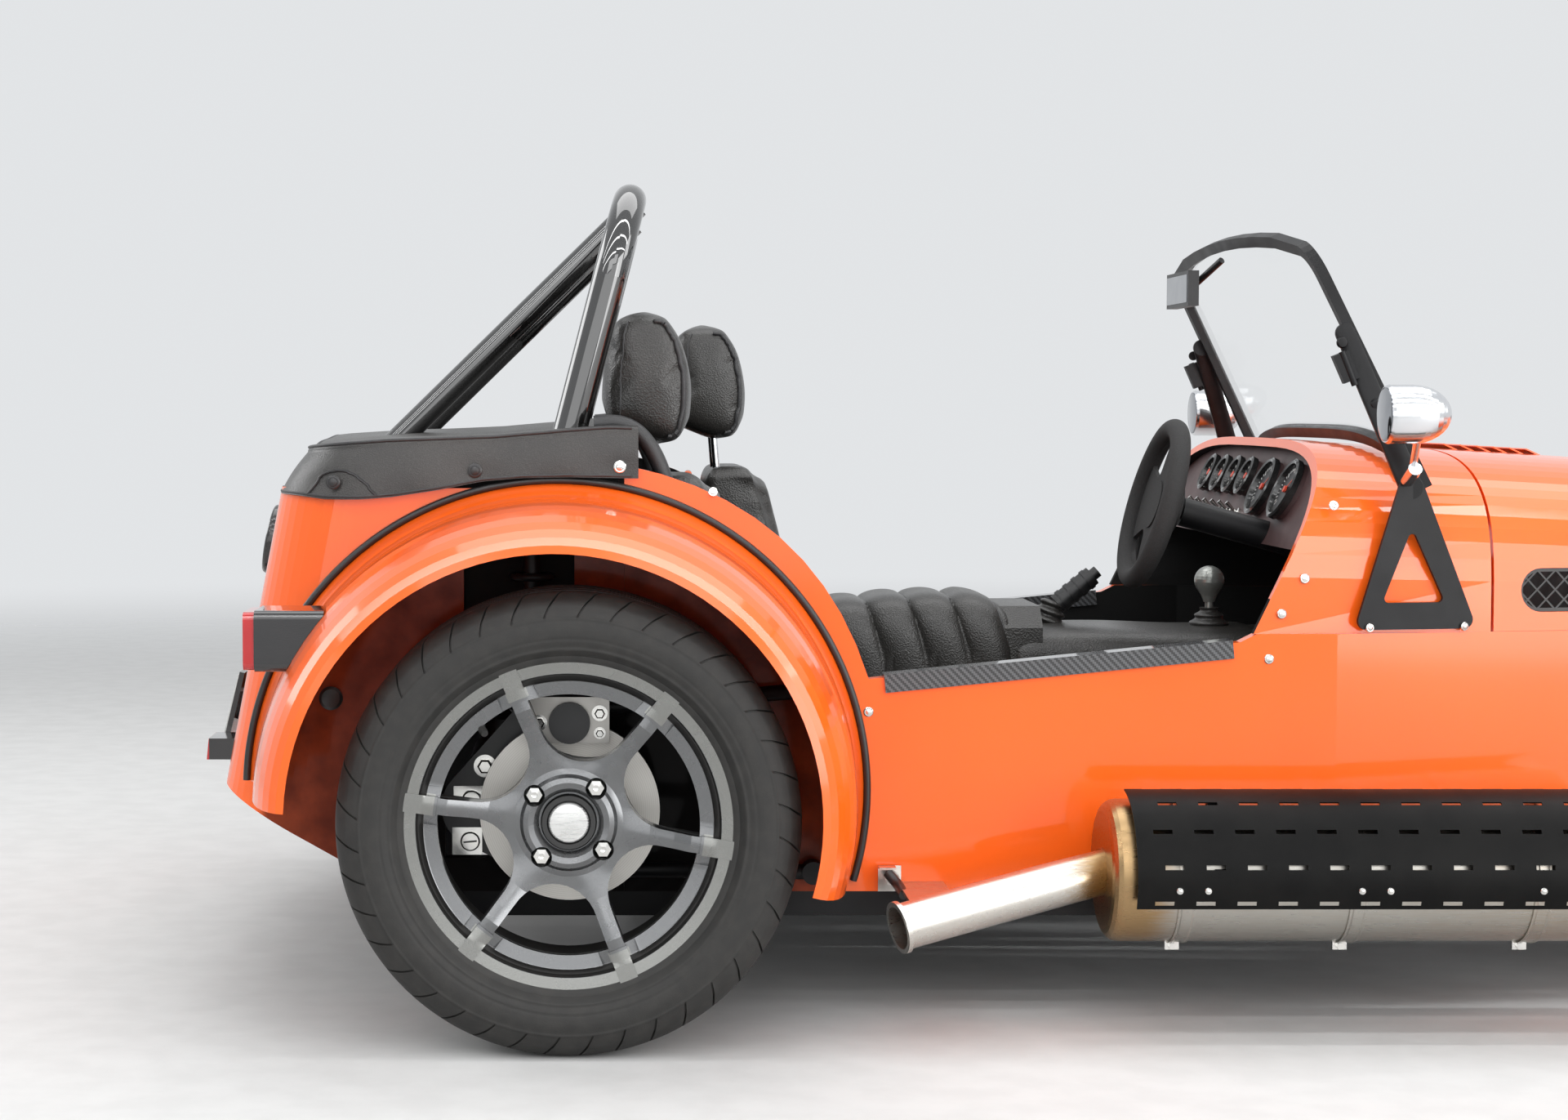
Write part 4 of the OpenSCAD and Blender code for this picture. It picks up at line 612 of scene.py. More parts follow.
# %% Helpers for surfaces
def grid(points, close_rows=False, close_cols=False):
    """Joins the points of a surface, an array (rows, columns, 3), into four-sided faces."""
    rows, cols = points.shape[:2]
    index = np.arange(rows * cols).reshape(rows, cols)
    if close_rows:
        index = np.vstack([index, index[:1]])
    if close_cols:
        index = np.hstack([index, index[:, :1]])
    faces = np.stack([index[:-1, :-1], index[1:, :-1], index[1:, 1:], index[:-1, 1:]], -1)
    return points.reshape(-1, 3), faces.reshape(-1, 4)


def unit(v):
    """Vectors scaled to length one."""
    v = np.asarray(v, float)
    return v / np.maximum(np.linalg.norm(v, axis=-1, keepdims=True), 1e-12)


def smooth_path(points, steps=8, closed=False):
    """A Catmull-Rom curve through the points: a cubic between each pair, with slopes from the neighbours."""
    p = np.asarray(points, float)
    p = np.vstack([p[-1:], p, p[:2]]) if closed else np.vstack([2 * p[0] - p[1], p, 2 * p[-1] - p[-2]])
    t = np.linspace(0, 1, steps, endpoint=False)[None, :, None]
    a, b, c, d = (p[i:len(p) - 3 + i][:, None] for i in range(4))
    curve = 0.5 * (2 * b + (c - a) * t + (2 * a - 5 * b + 4 * c - d) * t**2 + (3 * b - a - 3 * c + d) * t**3)
    curve = curve.reshape(-1, p.shape[1])
    return curve if closed else np.vstack([curve, p[-2:-1]])


def piece(name, surfaces, material, body="body", stands_for=(), crease=40):
    """One mesh from several surfaces, with shared points merged and faces turned outwards."""
    starts = np.cumsum([0] + [len(p) for p, f in surfaces])
    mesh = bpy.data.meshes.new(name)
    faces = [row for (p, f), s in zip(surfaces, starts) for row in (f + s).tolist()]
    mesh.from_pydata(np.vstack([p for p, f in surfaces]).tolist(), [], faces)
    work = bmesh.new()
    work.from_mesh(mesh)
    bmesh.ops.remove_doubles(work, verts=work.verts, dist=2e-6)
    bmesh.ops.dissolve_degenerate(work, edges=work.edges, dist=1e-7)
    bmesh.ops.recalc_face_normals(work, faces=work.faces)
    work.to_mesh(mesh)
    work.free()
    mesh.materials.append(material)
    mesh.shade_smooth()
    mesh.set_sharp_from_angle(angle=math.radians(crease))
    made = bpy.data.objects.new(name, mesh)
    bpy.context.scene.collection.objects.link(made)
    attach(made, body)
    if stands_for:
        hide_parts(*stands_for)
    print(name, len(mesh.polygons), "faces")
    return made


# %% [markdown]
# ## Tyres
# The frame's tyre is a plain ring. The real one has two pairs of grooves round the tread and angled slots
# that cut through its shoulders. The surface runs over an angle and a place across the profile: a depth
# field sinks the grooves and slots, and the angle shears with the distance from the middle, so that the
# slots slant.

# %% Tyres
tread = [(0, 286), (6, 286), (11.5, 286), (12.5, 286), (19.5, 286), (20.5, 286), (32, 286), (43.5, 286),
         (44.5, 286), (51.5, 286), (52.5, 286), (57, 285.8), (64, 285.3), (72, 284), (78, 281.8), (83, 278.2),
         (87.5, 273.6)]
flank = smooth_path([(90, 270.5), (94, 262), (96.5, 253), (98, 240.8), (96.6, 228), (94, 220.5),
                     (90.5, 213.5), (85, 208.4)], 7)
seat_edge = [(84, 204), (80, 199), (73.5, 191.2)]
half_profile = np.vstack([tread, flank, seat_edge]) / 1000
tyre_profile = np.vstack([half_profile[:0:-1] * (-1, 1), half_profile])
pitches = 40
pitch_marks = np.array([0, 0.010, 0.062, 0.072, 0.22, 0.38, 0.54, 0.70, 0.85])
pitch_cut = np.array([0, 1, 1, 0, 0, 0, 0, 0, 0])
groove_depth, slot_depth = 0.0065, 0.0050


def ridge(r, middle, width):
    """A smooth bump of height one about a radius: exp of minus the distance over the width, squared."""
    return np.exp(-((r - middle) / width) ** 2)


def tyre_surface(hub, outward):
    """A ring of the profile about the hub, whose points sink along the inward normal by the tread's depth."""
    w, r = tyre_profile.T
    a = (np.arange(pitches)[:, None] + pitch_marks).reshape(-1) / pitches * 2 * np.pi
    slot_field = np.tile(pitch_cut, pitches)[:, None]
    off = np.abs(w)
    groove = ((off > 0.012) & (off < 0.020)) | ((off > 0.044) & (off < 0.052))
    shoulder = np.interp(r, [0.2555, 0.259, 0.272, 0.2815], [0, 0.45, 0.6, 1]) * (off > 0.052)
    depth = np.maximum(groove_depth * groove[None, :], slot_depth * shoulder[None, :] * slot_field)
    slope = unit(np.gradient(tyre_profile, axis=0))
    inward = np.stack([slope[:, 1], -slope[:, 0]], -1)
    rib = 0.0014 * ridge(r, 0.2165, 0.0024) + 0.0009 * ridge(r, 0.2550, 0.0014)
    rib = (rib - 0.0007 * ridge(r, 0.2300, 0.0012)) * (off > 0.07)
    radius = r + depth * inward[None, :, 1]
    across = w + depth * inward[None, :, 0] + np.sign(w) * rib
    angle = a[:, None] + 1.6 * np.maximum(off - 0.05, 0) + 1.5 * np.maximum(0.280 - r, 0) * (off > 0.07)
    ring = np.stack([radius * np.cos(angle), outward * across, radius * np.sin(angle)], -1)
    return grid(hub + ring, close_rows=True, close_cols=True)


corners = {"rear_right": (rear_hub, -1), "rear_left": (rear_hub * (1, -1, 1), 1),
           "front_right": (front_hub, -1), "front_left": (front_hub * (1, -1, 1), 1)}
for corner, (hub, outward) in corners.items():
    piece(f"tyre_{corner}_treaded", [tyre_surface(hub, outward)], rubber, f"wheel_set_{corner}",
          [f"tyre_{corner}"], 35)

# %% [markdown]
# ## Wheel nuts, caps and valves
# Four bright nuts sit in bores on a 108 mm circle. Each is a hexagon, which is a profile spun in six steps.
# The hub has a black ring with a plain turned cap in it, and one valve stands at the rim.


# %% Spun profiles
def axes(direction):
    """Three square axes, the last one along direction."""
    w = unit(direction)
    u = unit(np.cross(w, (0, 0, 1.0) if abs(w[2]) < 0.9 else (1.0, 0, 0)))
    return u, np.cross(w, u), w


def revolved(profile, centre, direction, steps=48):
    """Spins (radius, height) pairs about an axis: centre + r cos a u + r sin a v + h w. Radius 0 closes."""
    profile = np.asarray(profile, float)
    u, v, w = axes(direction)
    a = np.linspace(0, 2 * np.pi, steps, endpoint=False)[:, None, None]
    r, h = profile[None, :, :1], profile[None, :, 1:]
    return grid(np.asarray(centre) + r * np.cos(a) * u + r * np.sin(a) * v + h * w, close_rows=True)


# %% Wheel nuts and caps
bright = finish("bright_zinc", brushed((0.62, 0.62, 0.60), (0.72, 0.71, 0.68), 0.18), Metallic=1.0)
cap_silver = finish("cap_silver", brushed((0.60, 0.60, 0.59), (0.72, 0.72, 0.71), 0.28, (1, 1, 14)),
                    Metallic=0.9)
nut_circle, nut_seat = 0.054, 0.021
valve_circle, valve_seat = 0.1672, 0.052
nut_turns = spoke_turn + np.radians(90 * np.arange(4))
valve_turn = np.radians(132)
nut = [(0, 0.009), (0.0122, 0.009), (0.0122, 0.024), (0.0098, 0.027), (0.0040, 0.0275), (0, 0.0255)]
washer = [(0, 0.0005), (0.0128, 0.0005), (0.0128, 0.010), (0.0108, 0.011), (0, 0.011)]
hub_ring = [(0, 0.037), (0.0345, 0.037), (0.0345, 0.048), (0.0330, 0.0505), (0.0270, 0.0505), (0.0255, 0.048),
            (0, 0.048)]
hub_cap = [(0, 0.0485), (0.0246, 0.0485), (0.0246, 0.0515), (0.0232, 0.0530), (0.0120, 0.0542), (0, 0.0546)]
valve = [(0, 0), (0.0075, 0), (0.0070, 0.010), (0.0050, 0.013), (0.0050, 0.026), (0.0042, 0.030), (0, 0.030)]


def spokewise(turns, outward):
    """Directions in the wheel's plane at these turns, as they look from outside."""
    return np.stack([np.cos(turns), 0 * turns, np.sin(turns) * -outward], -1)


for corner, (hub, outward) in corners.items():
    wheel = f"wheel_set_{corner}"
    out = np.array((0.0, outward, 0.0))
    feet = hub + nut_circle * spokewise(nut_turns, outward) + nut_seat * out
    nuts = [revolved(nut, foot, out, 6) for foot in feet] + [revolved(washer, foot, out, 32) for foot in feet]
    piece(f"wheel_nuts_{corner}", nuts, bright, wheel, crease=30)
    piece(f"hub_ring_{corner}", [revolved(hub_ring, hub, out)], lamp_black, wheel)
    piece(f"hub_cap_{corner}", [revolved(hub_cap, hub, out)], cap_silver, wheel)
    arm = spokewise(valve_turn, outward)
    stem = revolved(valve, hub + valve_circle * arm + valve_seat * out, 0.85 * out - 0.5 * arm, 20)
    piece(f"valve_{corner}", [stem], rubber, wheel)

# %% [markdown]
# ## Beading along the rear wings
# A black rubber bead is trapped between each wing and the body. It follows the wing's root circle.


# %% Swept tubes
def tube(path, radius, sides=10, up=(0, 1, 0)):
    """Sweeps a circle along a path: each ring lies across the path's slope, and the ends close to a point."""
    path = np.asarray(path, float)
    slope = np.gradient(path, axis=0)
    u = unit(np.cross(slope, up))
    v = unit(np.cross(u, slope))
    a = np.linspace(0, 2 * np.pi, sides, endpoint=False)[None, :, None]
    size = np.broadcast_to(np.asarray(radius, float), (len(path),))[:, None, None]
    rings = path[:, None] + size * (np.cos(a) * u[:, None] + np.sin(a) * v[:, None])
    ends = [np.repeat(path[i:i + 1, None], sides, 1) for i in (0, len(path) - 1)]
    return grid(np.concatenate([ends[0], rings, ends[1]]), close_cols=True)


# %% Wing beading
bead_rubber = finish("bead_rubber", pebbled((0.012, 0.012, 0.012), (0.020, 0.020, 0.020), 0.38, 260.0))
root_radius, root_out, bead_radius = 0.4055, 0.5035, 0.0048
sweep = np.radians(np.linspace(-17, 178, 150))
for name, side in (("right", -1), ("left", 1)):
    path = np.stack([wing_x + root_radius * np.cos(sweep), 0 * sweep + side * root_out,
                     wing_z + root_radius * np.sin(sweep)], -1)
    piece(f"wing_bead_{name}", [tube(path, bead_radius, 10)], bead_rubber)

# %% [markdown]
# ## The boot cover
# A vinyl cover is stretched over the boot and held down by press studs. Laid flat it is one sheet with
# round rear corners. The formula folds it: a point keeps its place in plan up to the body's outline, rolls
# over the edge on a 9 mm radius, and hangs straight down for the rest of its length, to a hem that rises
# over the wing.

# %% The cover's outline and top
edge_half, edge_rear, edge_front, edge_corner, roll = 0.499, -0.352, 0.088, 0.105, 0.009
front_of_top = 0.030
leg_line = 0.425
vinyl_thick = 0.0016
corner_x, corner_y = edge_rear + edge_corner, edge_half - edge_corner


def cover_outline():
    """Points of the cover's edge in plan, from front right round the rear to front left, and its normals."""
    bend = np.radians(np.linspace(0, 90, 14))[1:]
    side_x = np.concatenate([np.linspace(edge_front, front_of_top + 1e-4, 8),
                             np.linspace(front_of_top, corner_x, 40)])
    back_y = np.linspace(-corner_y, 0, 36)[1:]
    right = np.vstack([
        np.stack([side_x, 0 * side_x - edge_half], -1),
        np.stack([corner_x - edge_corner * np.sin(bend), -corner_y - edge_corner * np.cos(bend)], -1),
        np.stack([0 * back_y + edge_rear, back_y], -1)])
    outward = unit(np.minimum(right - (corner_x, -corner_y), 0))
    return (np.vstack([half, half[-2::-1] * (1, -1)]) for half in (right, outward))


def cover_top(x, y):
    """Height of the cover: it climbs forward, sags between its supports and lies a little slack."""
    climb = np.interp(x, [-0.36, -0.33, -0.24, -0.10, 0.0, 0.05, 0.1],
                      [0.744, 0.7475, 0.7545, 0.7595, 0.768, 0.7715, 0.770])
    crown = 0.008 * np.cos(np.pi * np.clip(y, -0.5, 0.5)) ** 2
    sag = 0.005 * np.exp(-((np.abs(y) - 0.33) / 0.06) ** 2)
    slack = 0.0016 * np.sin(13 * x + 7 * y) * np.sin(15 * y - 5 * x) * np.clip((0.5 - np.abs(y)) / 0.1, 0, 1)
    return climb + crown - sag + slack


# %% The folded sheet
def cover_layer(inset):
    """The folded sheet, one skin of it, at a depth inside its outer face."""
    outline, outward = cover_outline()
    x, y = outline.T
    spine = np.stack([np.clip(x, -0.27, None), np.where(x > front_of_top, np.sign(y) * leg_line, 0 * y)], -1)
    shoulder = outline - roll * outward
    f = np.linspace(0, 1, 34)[None, :, None]
    top_plan = spine[:, None] * (1 - f) + shoulder[:, None] * f
    top = np.concatenate([top_plan, cover_top(top_plan[..., 0], top_plan[..., 1])[..., None]], -1)
    edge_z = top[:, -1:, 2]
    turn = np.radians(np.linspace(10, 90, 9))[None, :]
    fold_plan = shoulder[:, None] + roll * np.sin(turn)[..., None] * outward[:, None]
    fold = np.concatenate([fold_plan, (edge_z - roll * (1 - np.cos(turn)))[..., None]], -1)
    hem = np.interp(x, [-0.39, -0.337, -0.305, -0.268, -0.231, -0.178, -0.115, -0.062, 0.0, 0.09],
                    [0.684, 0.681, 0.676, 0.676, 0.679, 0.687, 0.699, 0.7035, 0.7045, 0.7030])[:, None]
    d = np.linspace(0.06, 1, 20)[None, :]
    drop_z = (edge_z - roll) * (1 - d) + hem * d
    along = np.cumsum(np.linalg.norm(np.diff(outline, axis=0, prepend=outline[:1]), axis=1))[:, None]
    pull = 0.0016 * np.sin(along * 21) * d * (1.2 - d) + 0.0006 * np.sin(along * 67 + 3 * d) * d
    for x_stud, z_stud in ((-0.308, 0.698), (-0.124, 0.713), (0.064, 0.718)):
        near = np.hypot((x[:, None] - x_stud) / 1.6, drop_z - z_stud)
        pull = pull - 0.0035 * np.exp(-((near / 0.020) ** 2)) * (np.abs(y[:, None]) > 0.4)
    behind = np.clip((corner_x - x[:, None]) / edge_corner, 0, 1)
    flare = (0.0135 + 0.024 * behind) * d + 0.003 * np.sin(np.pi * d)
    drop_plan = outline[:, None] + (pull + flare)[..., None] * outward[:, None]
    drop = np.concatenate([drop_plan, drop_z[..., None]], -1)
    skin = np.concatenate([top, fold, drop], 1)
    normal = unit(np.cross(np.gradient(skin, axis=0), np.gradient(skin, axis=1)))
    normal = np.where(np.abs(normal).sum(-1, keepdims=True) < 0.5, (0, 0, 1.0), normal)
    sideways = np.concatenate([np.repeat(outward[:, None], d.shape[1], 1), 0 * drop[..., :1]], -1)
    away = np.concatenate([0 * top + (0, 0, 1), 0 * fold + (0, 0, 1), sideways], 1)
    normal = normal * np.sign((normal * away).sum(-1, keepdims=True) + 1e-9)
    return skin - inset * normal + (axle_x, 0, 0)


# %% Boot cover
outer, inner = cover_layer(0.0), cover_layer(vinyl_thick)
skins = [grid(np.concatenate([outer, inner[:, ::-1]], 1), close_cols=True)]
skins += [grid(np.stack([outer[end], inner[end]])) for end in (0, -1)]
cover = piece("boot_cover_vinyl", skins, vinyl, stands_for=["boot_cover"], crease=60)

# %% [markdown]
# The cover's seams are sewn lines that stand a little proud: one round its top edge, a hem along the bottom
# and a curved pocket at each rear corner, with a thick welt where the front edge comes down. Press studs
# hold the cover: two black ones and a bright one on each side.


# %% Lines on the cover
def from_axle(points):
    """Places counted from the rear axle in millimetres, in metres of the frame."""
    return np.asarray(points, float) / 1000 + (axle_x, 0, 0)


def side_line(line, across, ahead=0.0):
    """A line drawn in side view from the axle, in millimetres, at a place across the car."""
    return from_axle(np.stack([line[:, 0] + ahead, 0 * line[:, 0] + across, line[:, 1]], -1))


def laid_on(made, path, proud):
    """The points of a piece nearest to a path, lifted a little off its skin, for seams and piping."""
    mesh = made.data
    skin = BVHTree.FromPolygons([v.co for v in mesh.vertices], [p.vertices for p in mesh.polygons])
    hits = [skin.find_nearest(Vector(p))[:2] for p in path]
    return np.array([place + proud * normal for place, normal in hits])


# %% Cover seams
stitch = finish("stitch_black", grained((0.020, 0.020, 0.021), (0.034, 0.034, 0.036), 0.5, 0.0012, 0.0006))
seam_proud = 0.0006
edge_column, hem_column = 38, -2
seams = [tube(outer[1:-1, edge_column] + (0, 0, seam_proud), 0.0022, 8, up=(0, 0, 1)),
         tube(outer[1:-1, hem_column], 0.0019, 6, up=(0, 0, 1))]
pocket = smooth_path([(-374, 706), (-361, 719), (-337, 724), (-310, 722), (-289, 715), (-268, 701),
                      (-249, 682)], 8)
welt = smooth_path([(30, 773), (62, 774), (88, 762), (108, 737), (122, 705), (128, 682)], 8)
for side in (-1, 1):
    seams.append(tube(laid_on(cover, side_line(pocket, side * 530), seam_proud), 0.0018, 6))
    seams.append(tube(side_line(welt, side * 452), 0.011, 10))
piece("boot_cover_seams", seams, stitch, crease=60)

# %% Press studs
stud_black = finish("stud_black", pebbled((0.016, 0.016, 0.017), (0.028, 0.028, 0.029), 0.3, 400.0, 0.0002))
stud_dome = np.array([(0, -0.002), (1.25, -0.002), (1.25, 0.0006), (1.05, 0.0016), (0.8, 0.0016),
                      (0.72, 0.0026), (0.4, 0.0034), (0, 0.0037)])


def both(points):
    """Places on the right side, then the same on the left."""
    p = np.asarray(points, float)
    return np.vstack([p * (1, -1, 1), p])


def studs(name, places, directions, material, size):
    """Round fasteners with a rim and a domed cap: one profile, as wide as size, spun at every place."""
    domes = [revolved(stud_dome * (size, 1), p, d, 24) for p, d in zip(places, directions)]
    piece(name, domes, material, crease=35)


cover_studs = both([(-308, 508, 698), (-124, 509, 713)])
studs("cover_studs_black", from_axle(cover_studs), unit(cover_studs * (0, 1, 0)), stud_black, 0.0075)
front_studs = both([(64, 510, 718)])
studs("cover_studs_bright", from_axle(front_studs), unit(front_studs * (0, 1, 0)), bright, 0.0065)
body_studs = both([(185, 500.4, 685), (389, 500.4, 398), (911, 500.4, 467), (927, 499.6, 526),
                   (957, 497.6, 572), (996, 487, 667)])
lean = np.interp(body_studs[:, 2], [560, 667], [0, 0.35])
body_out = unit(np.stack([0 * lean, np.sign(body_studs[:, 1]), lean], -1))
studs("body_studs", from_axle(body_studs), body_out, bright, 0.0052)

# %% [markdown]
# ## Stuffed leather
# Foam under leather swells between its edges. The form is a plain closed mesh, remeshed into small even
# faces, and cloth with a little inner pressure lets it swell; how far a point may move is capped. The seams
# come afterwards.

# %% The stuffing recipe
swell_frames = 20
foam_pressure = 4.0


def stuffed(made, voxel, cap):
    """Remeshes a closed piece and lets it swell as cloth under pressure, with moves held under the cap."""
    remesh = made.modifiers.new("remesh", "REMESH")
    remesh.mode = "VOXEL"
    remesh.voxel_size = voxel
    bpy.context.view_layer.update()
    mesh = bpy.data.meshes.new_from_object(made.evaluated_get(bpy.context.evaluated_depsgraph_get()))
    made.modifiers.clear()
    made.data = mesh
    still = np.zeros(len(mesh.vertices) * 3)
    mesh.vertices.foreach_get("co", still)
    cloth = made.modifiers.new("cloth", "CLOTH")
    cloth.settings.use_pressure = True
    cloth.settings.uniform_pressure_force = foam_pressure
    cloth.settings.effector_weights.gravity = 0
    for number in range(1, swell_frames + 1):
        bpy.context.scene.frame_set(number)
    swollen = np.zeros_like(still)
    made.evaluated_get(bpy.context.evaluated_depsgraph_get()).data.vertices.foreach_get("co", swollen)
    move = (swollen - still).reshape(-1, 3)
    share = np.minimum(1, cap / np.maximum(np.linalg.norm(move, axis=1, keepdims=True), 1e-9))
    mesh.vertices.foreach_set("co", (still.reshape(-1, 3) + move * share).ravel())
    made.modifiers.clear()
    bpy.context.scene.frame_set(1)
    mesh.shade_smooth()
    soft = made.modifiers.new("soft", "SUBSURF")
    soft.levels = soft.render_levels = 1
    print(made.name, len(mesh.polygons), "faces after stuffing")
    return made


# %% [markdown]
# ## Headrests
# A headrest is a tall D seen from the side: a rounded back, a flat crown and a front that leans. The
# outline is drawn through points read off the photograph, and sections shrink towards the two ends, so that
# the side panels crown. Piping runs round the front edge, a thin seam round the back, and two posts carry
# it.

# %% Headrests
rest_outline = smooth_path([(45, 777), (44, 817), (49, 873), (55, 908), (67, 921), (100, 924), (125, 920),
                            (136, 907), (149, 882), (158, 839), (159, 805), (154, 765), (142, 745),
                            (112, 748), (72, 763), (52, 770)], 6, closed=True)
piping_line = smooth_path([(112, 926), (128, 921), (141, 906), (152, 878), (160, 835), (160, 800), (155, 765),
                           (146, 744), (128, 740)], 8)
seam_line = smooth_path([(74, 926), (66, 880), (62, 830), (64, 765)], 8)
rest_middle = np.array((101.0, 835.0))
rest_half = 108.0
post_half = 52


def loaf(seat_line, ahead):
    """The outline scaled about its middle by (1 - |b|^7)^(1/7), flat-topped over the place b across it."""
    b = np.sin(np.linspace(-np.pi / 2, np.pi / 2, 40))
    scale = np.maximum(1 - np.abs(b) ** 7, 0) ** (1 / 7)
    plan = rest_middle + (rest_outline[None] - rest_middle) * (0.965 * scale[:, None, None])
    across = np.broadcast_to((seat_line + rest_half * b)[:, None], plan.shape[:2])
    return grid(from_axle(np.stack([plan[..., 0] + ahead, across, plan[..., 1]], -1)), close_cols=True)


for name, seat_line, ahead in (("right", -290.0, 0.0), ("left", 290.0, 104.0)):
    head = piece(f"headrest_{name}", [loaf(seat_line, ahead)], leather,
                 stands_for=["headrests"])
    stuffed(head, 0.005, 0.005)
    runs = []
    for edge in (-1, 1):
        for line, size in ((piping_line, 0.0034), (seam_line, 0.0012)):
            path = side_line(line, seat_line + edge * (rest_half + 6), ahead)
            runs.append(tube(laid_on(head, path, 0.4 * size), size, 8))
    piece(f"headrest_piping_{name}", runs, stitch, crease=60)
    post = np.array([(118, 690), (112, 760)])
    posts = [tube(side_line(post, seat_line + y, ahead), 0.0055, 12) for y in (-post_half, post_half)]
    piece(f"headrest_posts_{name}", posts, chrome)

# %% [markdown]
# ## Seats
# The seats keep the frame's form as their foam. A merged copy of it is stuffed, so that edges round off and
# the panels crown between them.


# %% Seats
def copied(name, node):
    """A merged copy of a CAD node's mesh, which then stands for the node."""
    mesh = nodes[node].data.copy()
    work = bmesh.new()
    work.from_mesh(mesh)
    bmesh.ops.remove_doubles(work, verts=work.verts, dist=1e-5)
    work.to_mesh(mesh)
    work.free()
    made = bpy.data.objects.new(name, mesh)
    bpy.context.scene.collection.objects.link(made)
    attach(made, "body")
    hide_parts(node)
    return made


seat_pair = stuffed(copied("seats_stuffed", "seats"), 0.010, 0.012)

# %% [markdown]
# ## The padded tunnel
# Between the seats the tunnel carries a ribbed leather pad: cushions side by side with sewn channels
# between them. Its section is a superellipse, and each cushion swells between two channels, which lean
# forward as they go down. Ahead of it a lower, plain pad runs to the levers.

# %% Padded sections
pad_power = 2 / 5


def squared(wave):
    """A sine or cosine raised to the pad's power with its sign kept, which squares up an ellipse."""
    return np.sign(wave) * np.abs(wave) ** pad_power


def tunnel_pad(x, top, base, half, swell):
    """Superellipse sections of the fifth order along x, raised by a swell field and closed at both ends."""
    b = np.linspace(-np.pi / 2, np.pi / 2, 61)[None, :]
    end = np.clip(np.minimum(x - x[0], x[-1] - x) / 0.030, 0, 1)[:, None]
    shrink = np.sqrt(np.maximum(1 - (1 - end) ** 2, 0))
    tall = (top[:, None] - base) * (0.86 + 0.14 * shrink)
    y = half * (0.94 + 0.06 * shrink) * squared(np.sin(b))
    z = base + tall * np.abs(squared(np.cos(b)))
    lift = swell(x[:, None], z)
    y = y * (1 + lift / half)
    z = base + (z - base) * (1 + lift / (top[:, None] - base))
    rings = np.stack([np.broadcast_to(x[:, None], y.shape) + axle_x, y, z], -1)
    floor = np.stack([rings[:, -1], rings[:, 0]], 1)
    ends = [np.stack([rings[i], rings[i] * (1, 0, 0) + (0, 0, base)]) for i in (0, -1)]
    return [grid(rings), grid(floor)] + [grid(e) for e in ends]


# %% Tunnel pads
rib_pitch, rib_start = 0.0625, 0.4245
rib_base, rib_half = 0.39, 0.113
rib_lean, lean_level = 0.30, 0.515
rib_x = np.linspace(0.300, 0.634, 240)
rib_top = np.interp(rib_x, [0.30, 0.40, 0.48, 0.57, 0.612, 0.634], [0.498, 0.506, 0.514, 0.516, 0.511, 0.500])


def ribbed(x, z):
    """Each cushion: a flattened sine between two channels that lean forward on the way down."""
    phase = (x - rib_lean * (lean_level - z) - rib_start) / rib_pitch
    return 0.0105 * np.abs(np.sin(np.pi * phase)) ** 0.45


def slack(x, z):
    """A plain pad's gentle waves along the car."""
    return 0.002 * np.sin(14 * x) ** 2 + 0 * z


rib_pad = piece("tunnel_pad_ribbed", tunnel_pad(rib_x, rib_top, rib_base, rib_half, ribbed), leather,
                crease=75)
low_x = np.linspace(0.640, 1.02, 100)
low_top = np.interp(low_x, [0.64, 0.7, 1.02], [0.476, 0.474, 0.470])
low_pad = piece("tunnel_pad_plain", tunnel_pad(low_x, low_top, 0.40, 0.115, slack), leather,
                crease=75)

# %% Tunnel seams
b = np.linspace(-1.15, 1.15, 60)
channels = []
for mark in rib_start + rib_pitch * np.arange(-1, 4):
    y = (rib_half + 0.0005) * squared(np.sin(b))
    z = rib_base + (np.interp(mark, rib_x, rib_top) - rib_base) * squared(np.cos(b))
    path = np.stack([mark + rib_lean * (lean_level - z) + axle_x, y, z], -1)
    channels.append(tube(path, 0.0011, 6, up=(1, 0, 0)))
piece("tunnel_pad_seams", channels, stitch, crease=60)

# %% [markdown]
# The handbrake and the gear lever come up through folded leather gaiters, skirts whose folds are rings of a
# wavy profile.


# %% Gaiters
def gaiter(foot, direction, wide, narrow, tall, wave, folds):
    """A skirt spun about the lever: the radius falls evenly with the height and a sine folds it."""
    f = np.linspace(0, 1, 40)
    skirt = np.stack([wide - (wide - narrow) * f + wave * np.sin(f * folds), tall * f], -1)
    return revolved(np.vstack([(0, 0), skirt, (0, tall)]), from_axle(foot), direction, 40)


piece("lever_gaiters", [gaiter((703, 30, 462), (0.35, 0, 1), 0.034, 0.014, 0.046, 0.0028, 22),
                        gaiter((945, 0, 462), (0, 0, 1), 0.036, 0.012, 0.036, 0.0022, 20)],
      leather, crease=75)

# %% [markdown]
# ## Instruments
# The dash leans back, so every dial shares one normal. A bezel is a ring profile, a face is a disc, and its
# marks are thin blocks set out on an arc. The dials carry plain marks only.


# %% Boxes
def blocks(centres, u, v, w):
    """Many boxes: each centre plus and minus its three half edges."""
    centres = np.atleast_2d(centres)
    u, v, w = (np.broadcast_to(np.asarray(e, float), centres.shape)[:, None] for e in (u, v, w))
    s = np.array([(i & 1, i >> 1 & 1, i >> 2 & 1) for i in range(8)]) * 2.0 - 1
    points = centres[:, None] + s[None, :, :1] * u + s[None, :, 1:2] * v + s[None, :, 2:] * w
    sides = np.array([(0, 2, 3, 1), (4, 5, 7, 6), (0, 1, 5, 4), (2, 6, 7, 3), (0, 4, 6, 2), (1, 3, 7, 5)])
    return points.reshape(-1, 3), (np.arange(len(centres))[:, None, None] * 8 + sides).reshape(-1, 4)


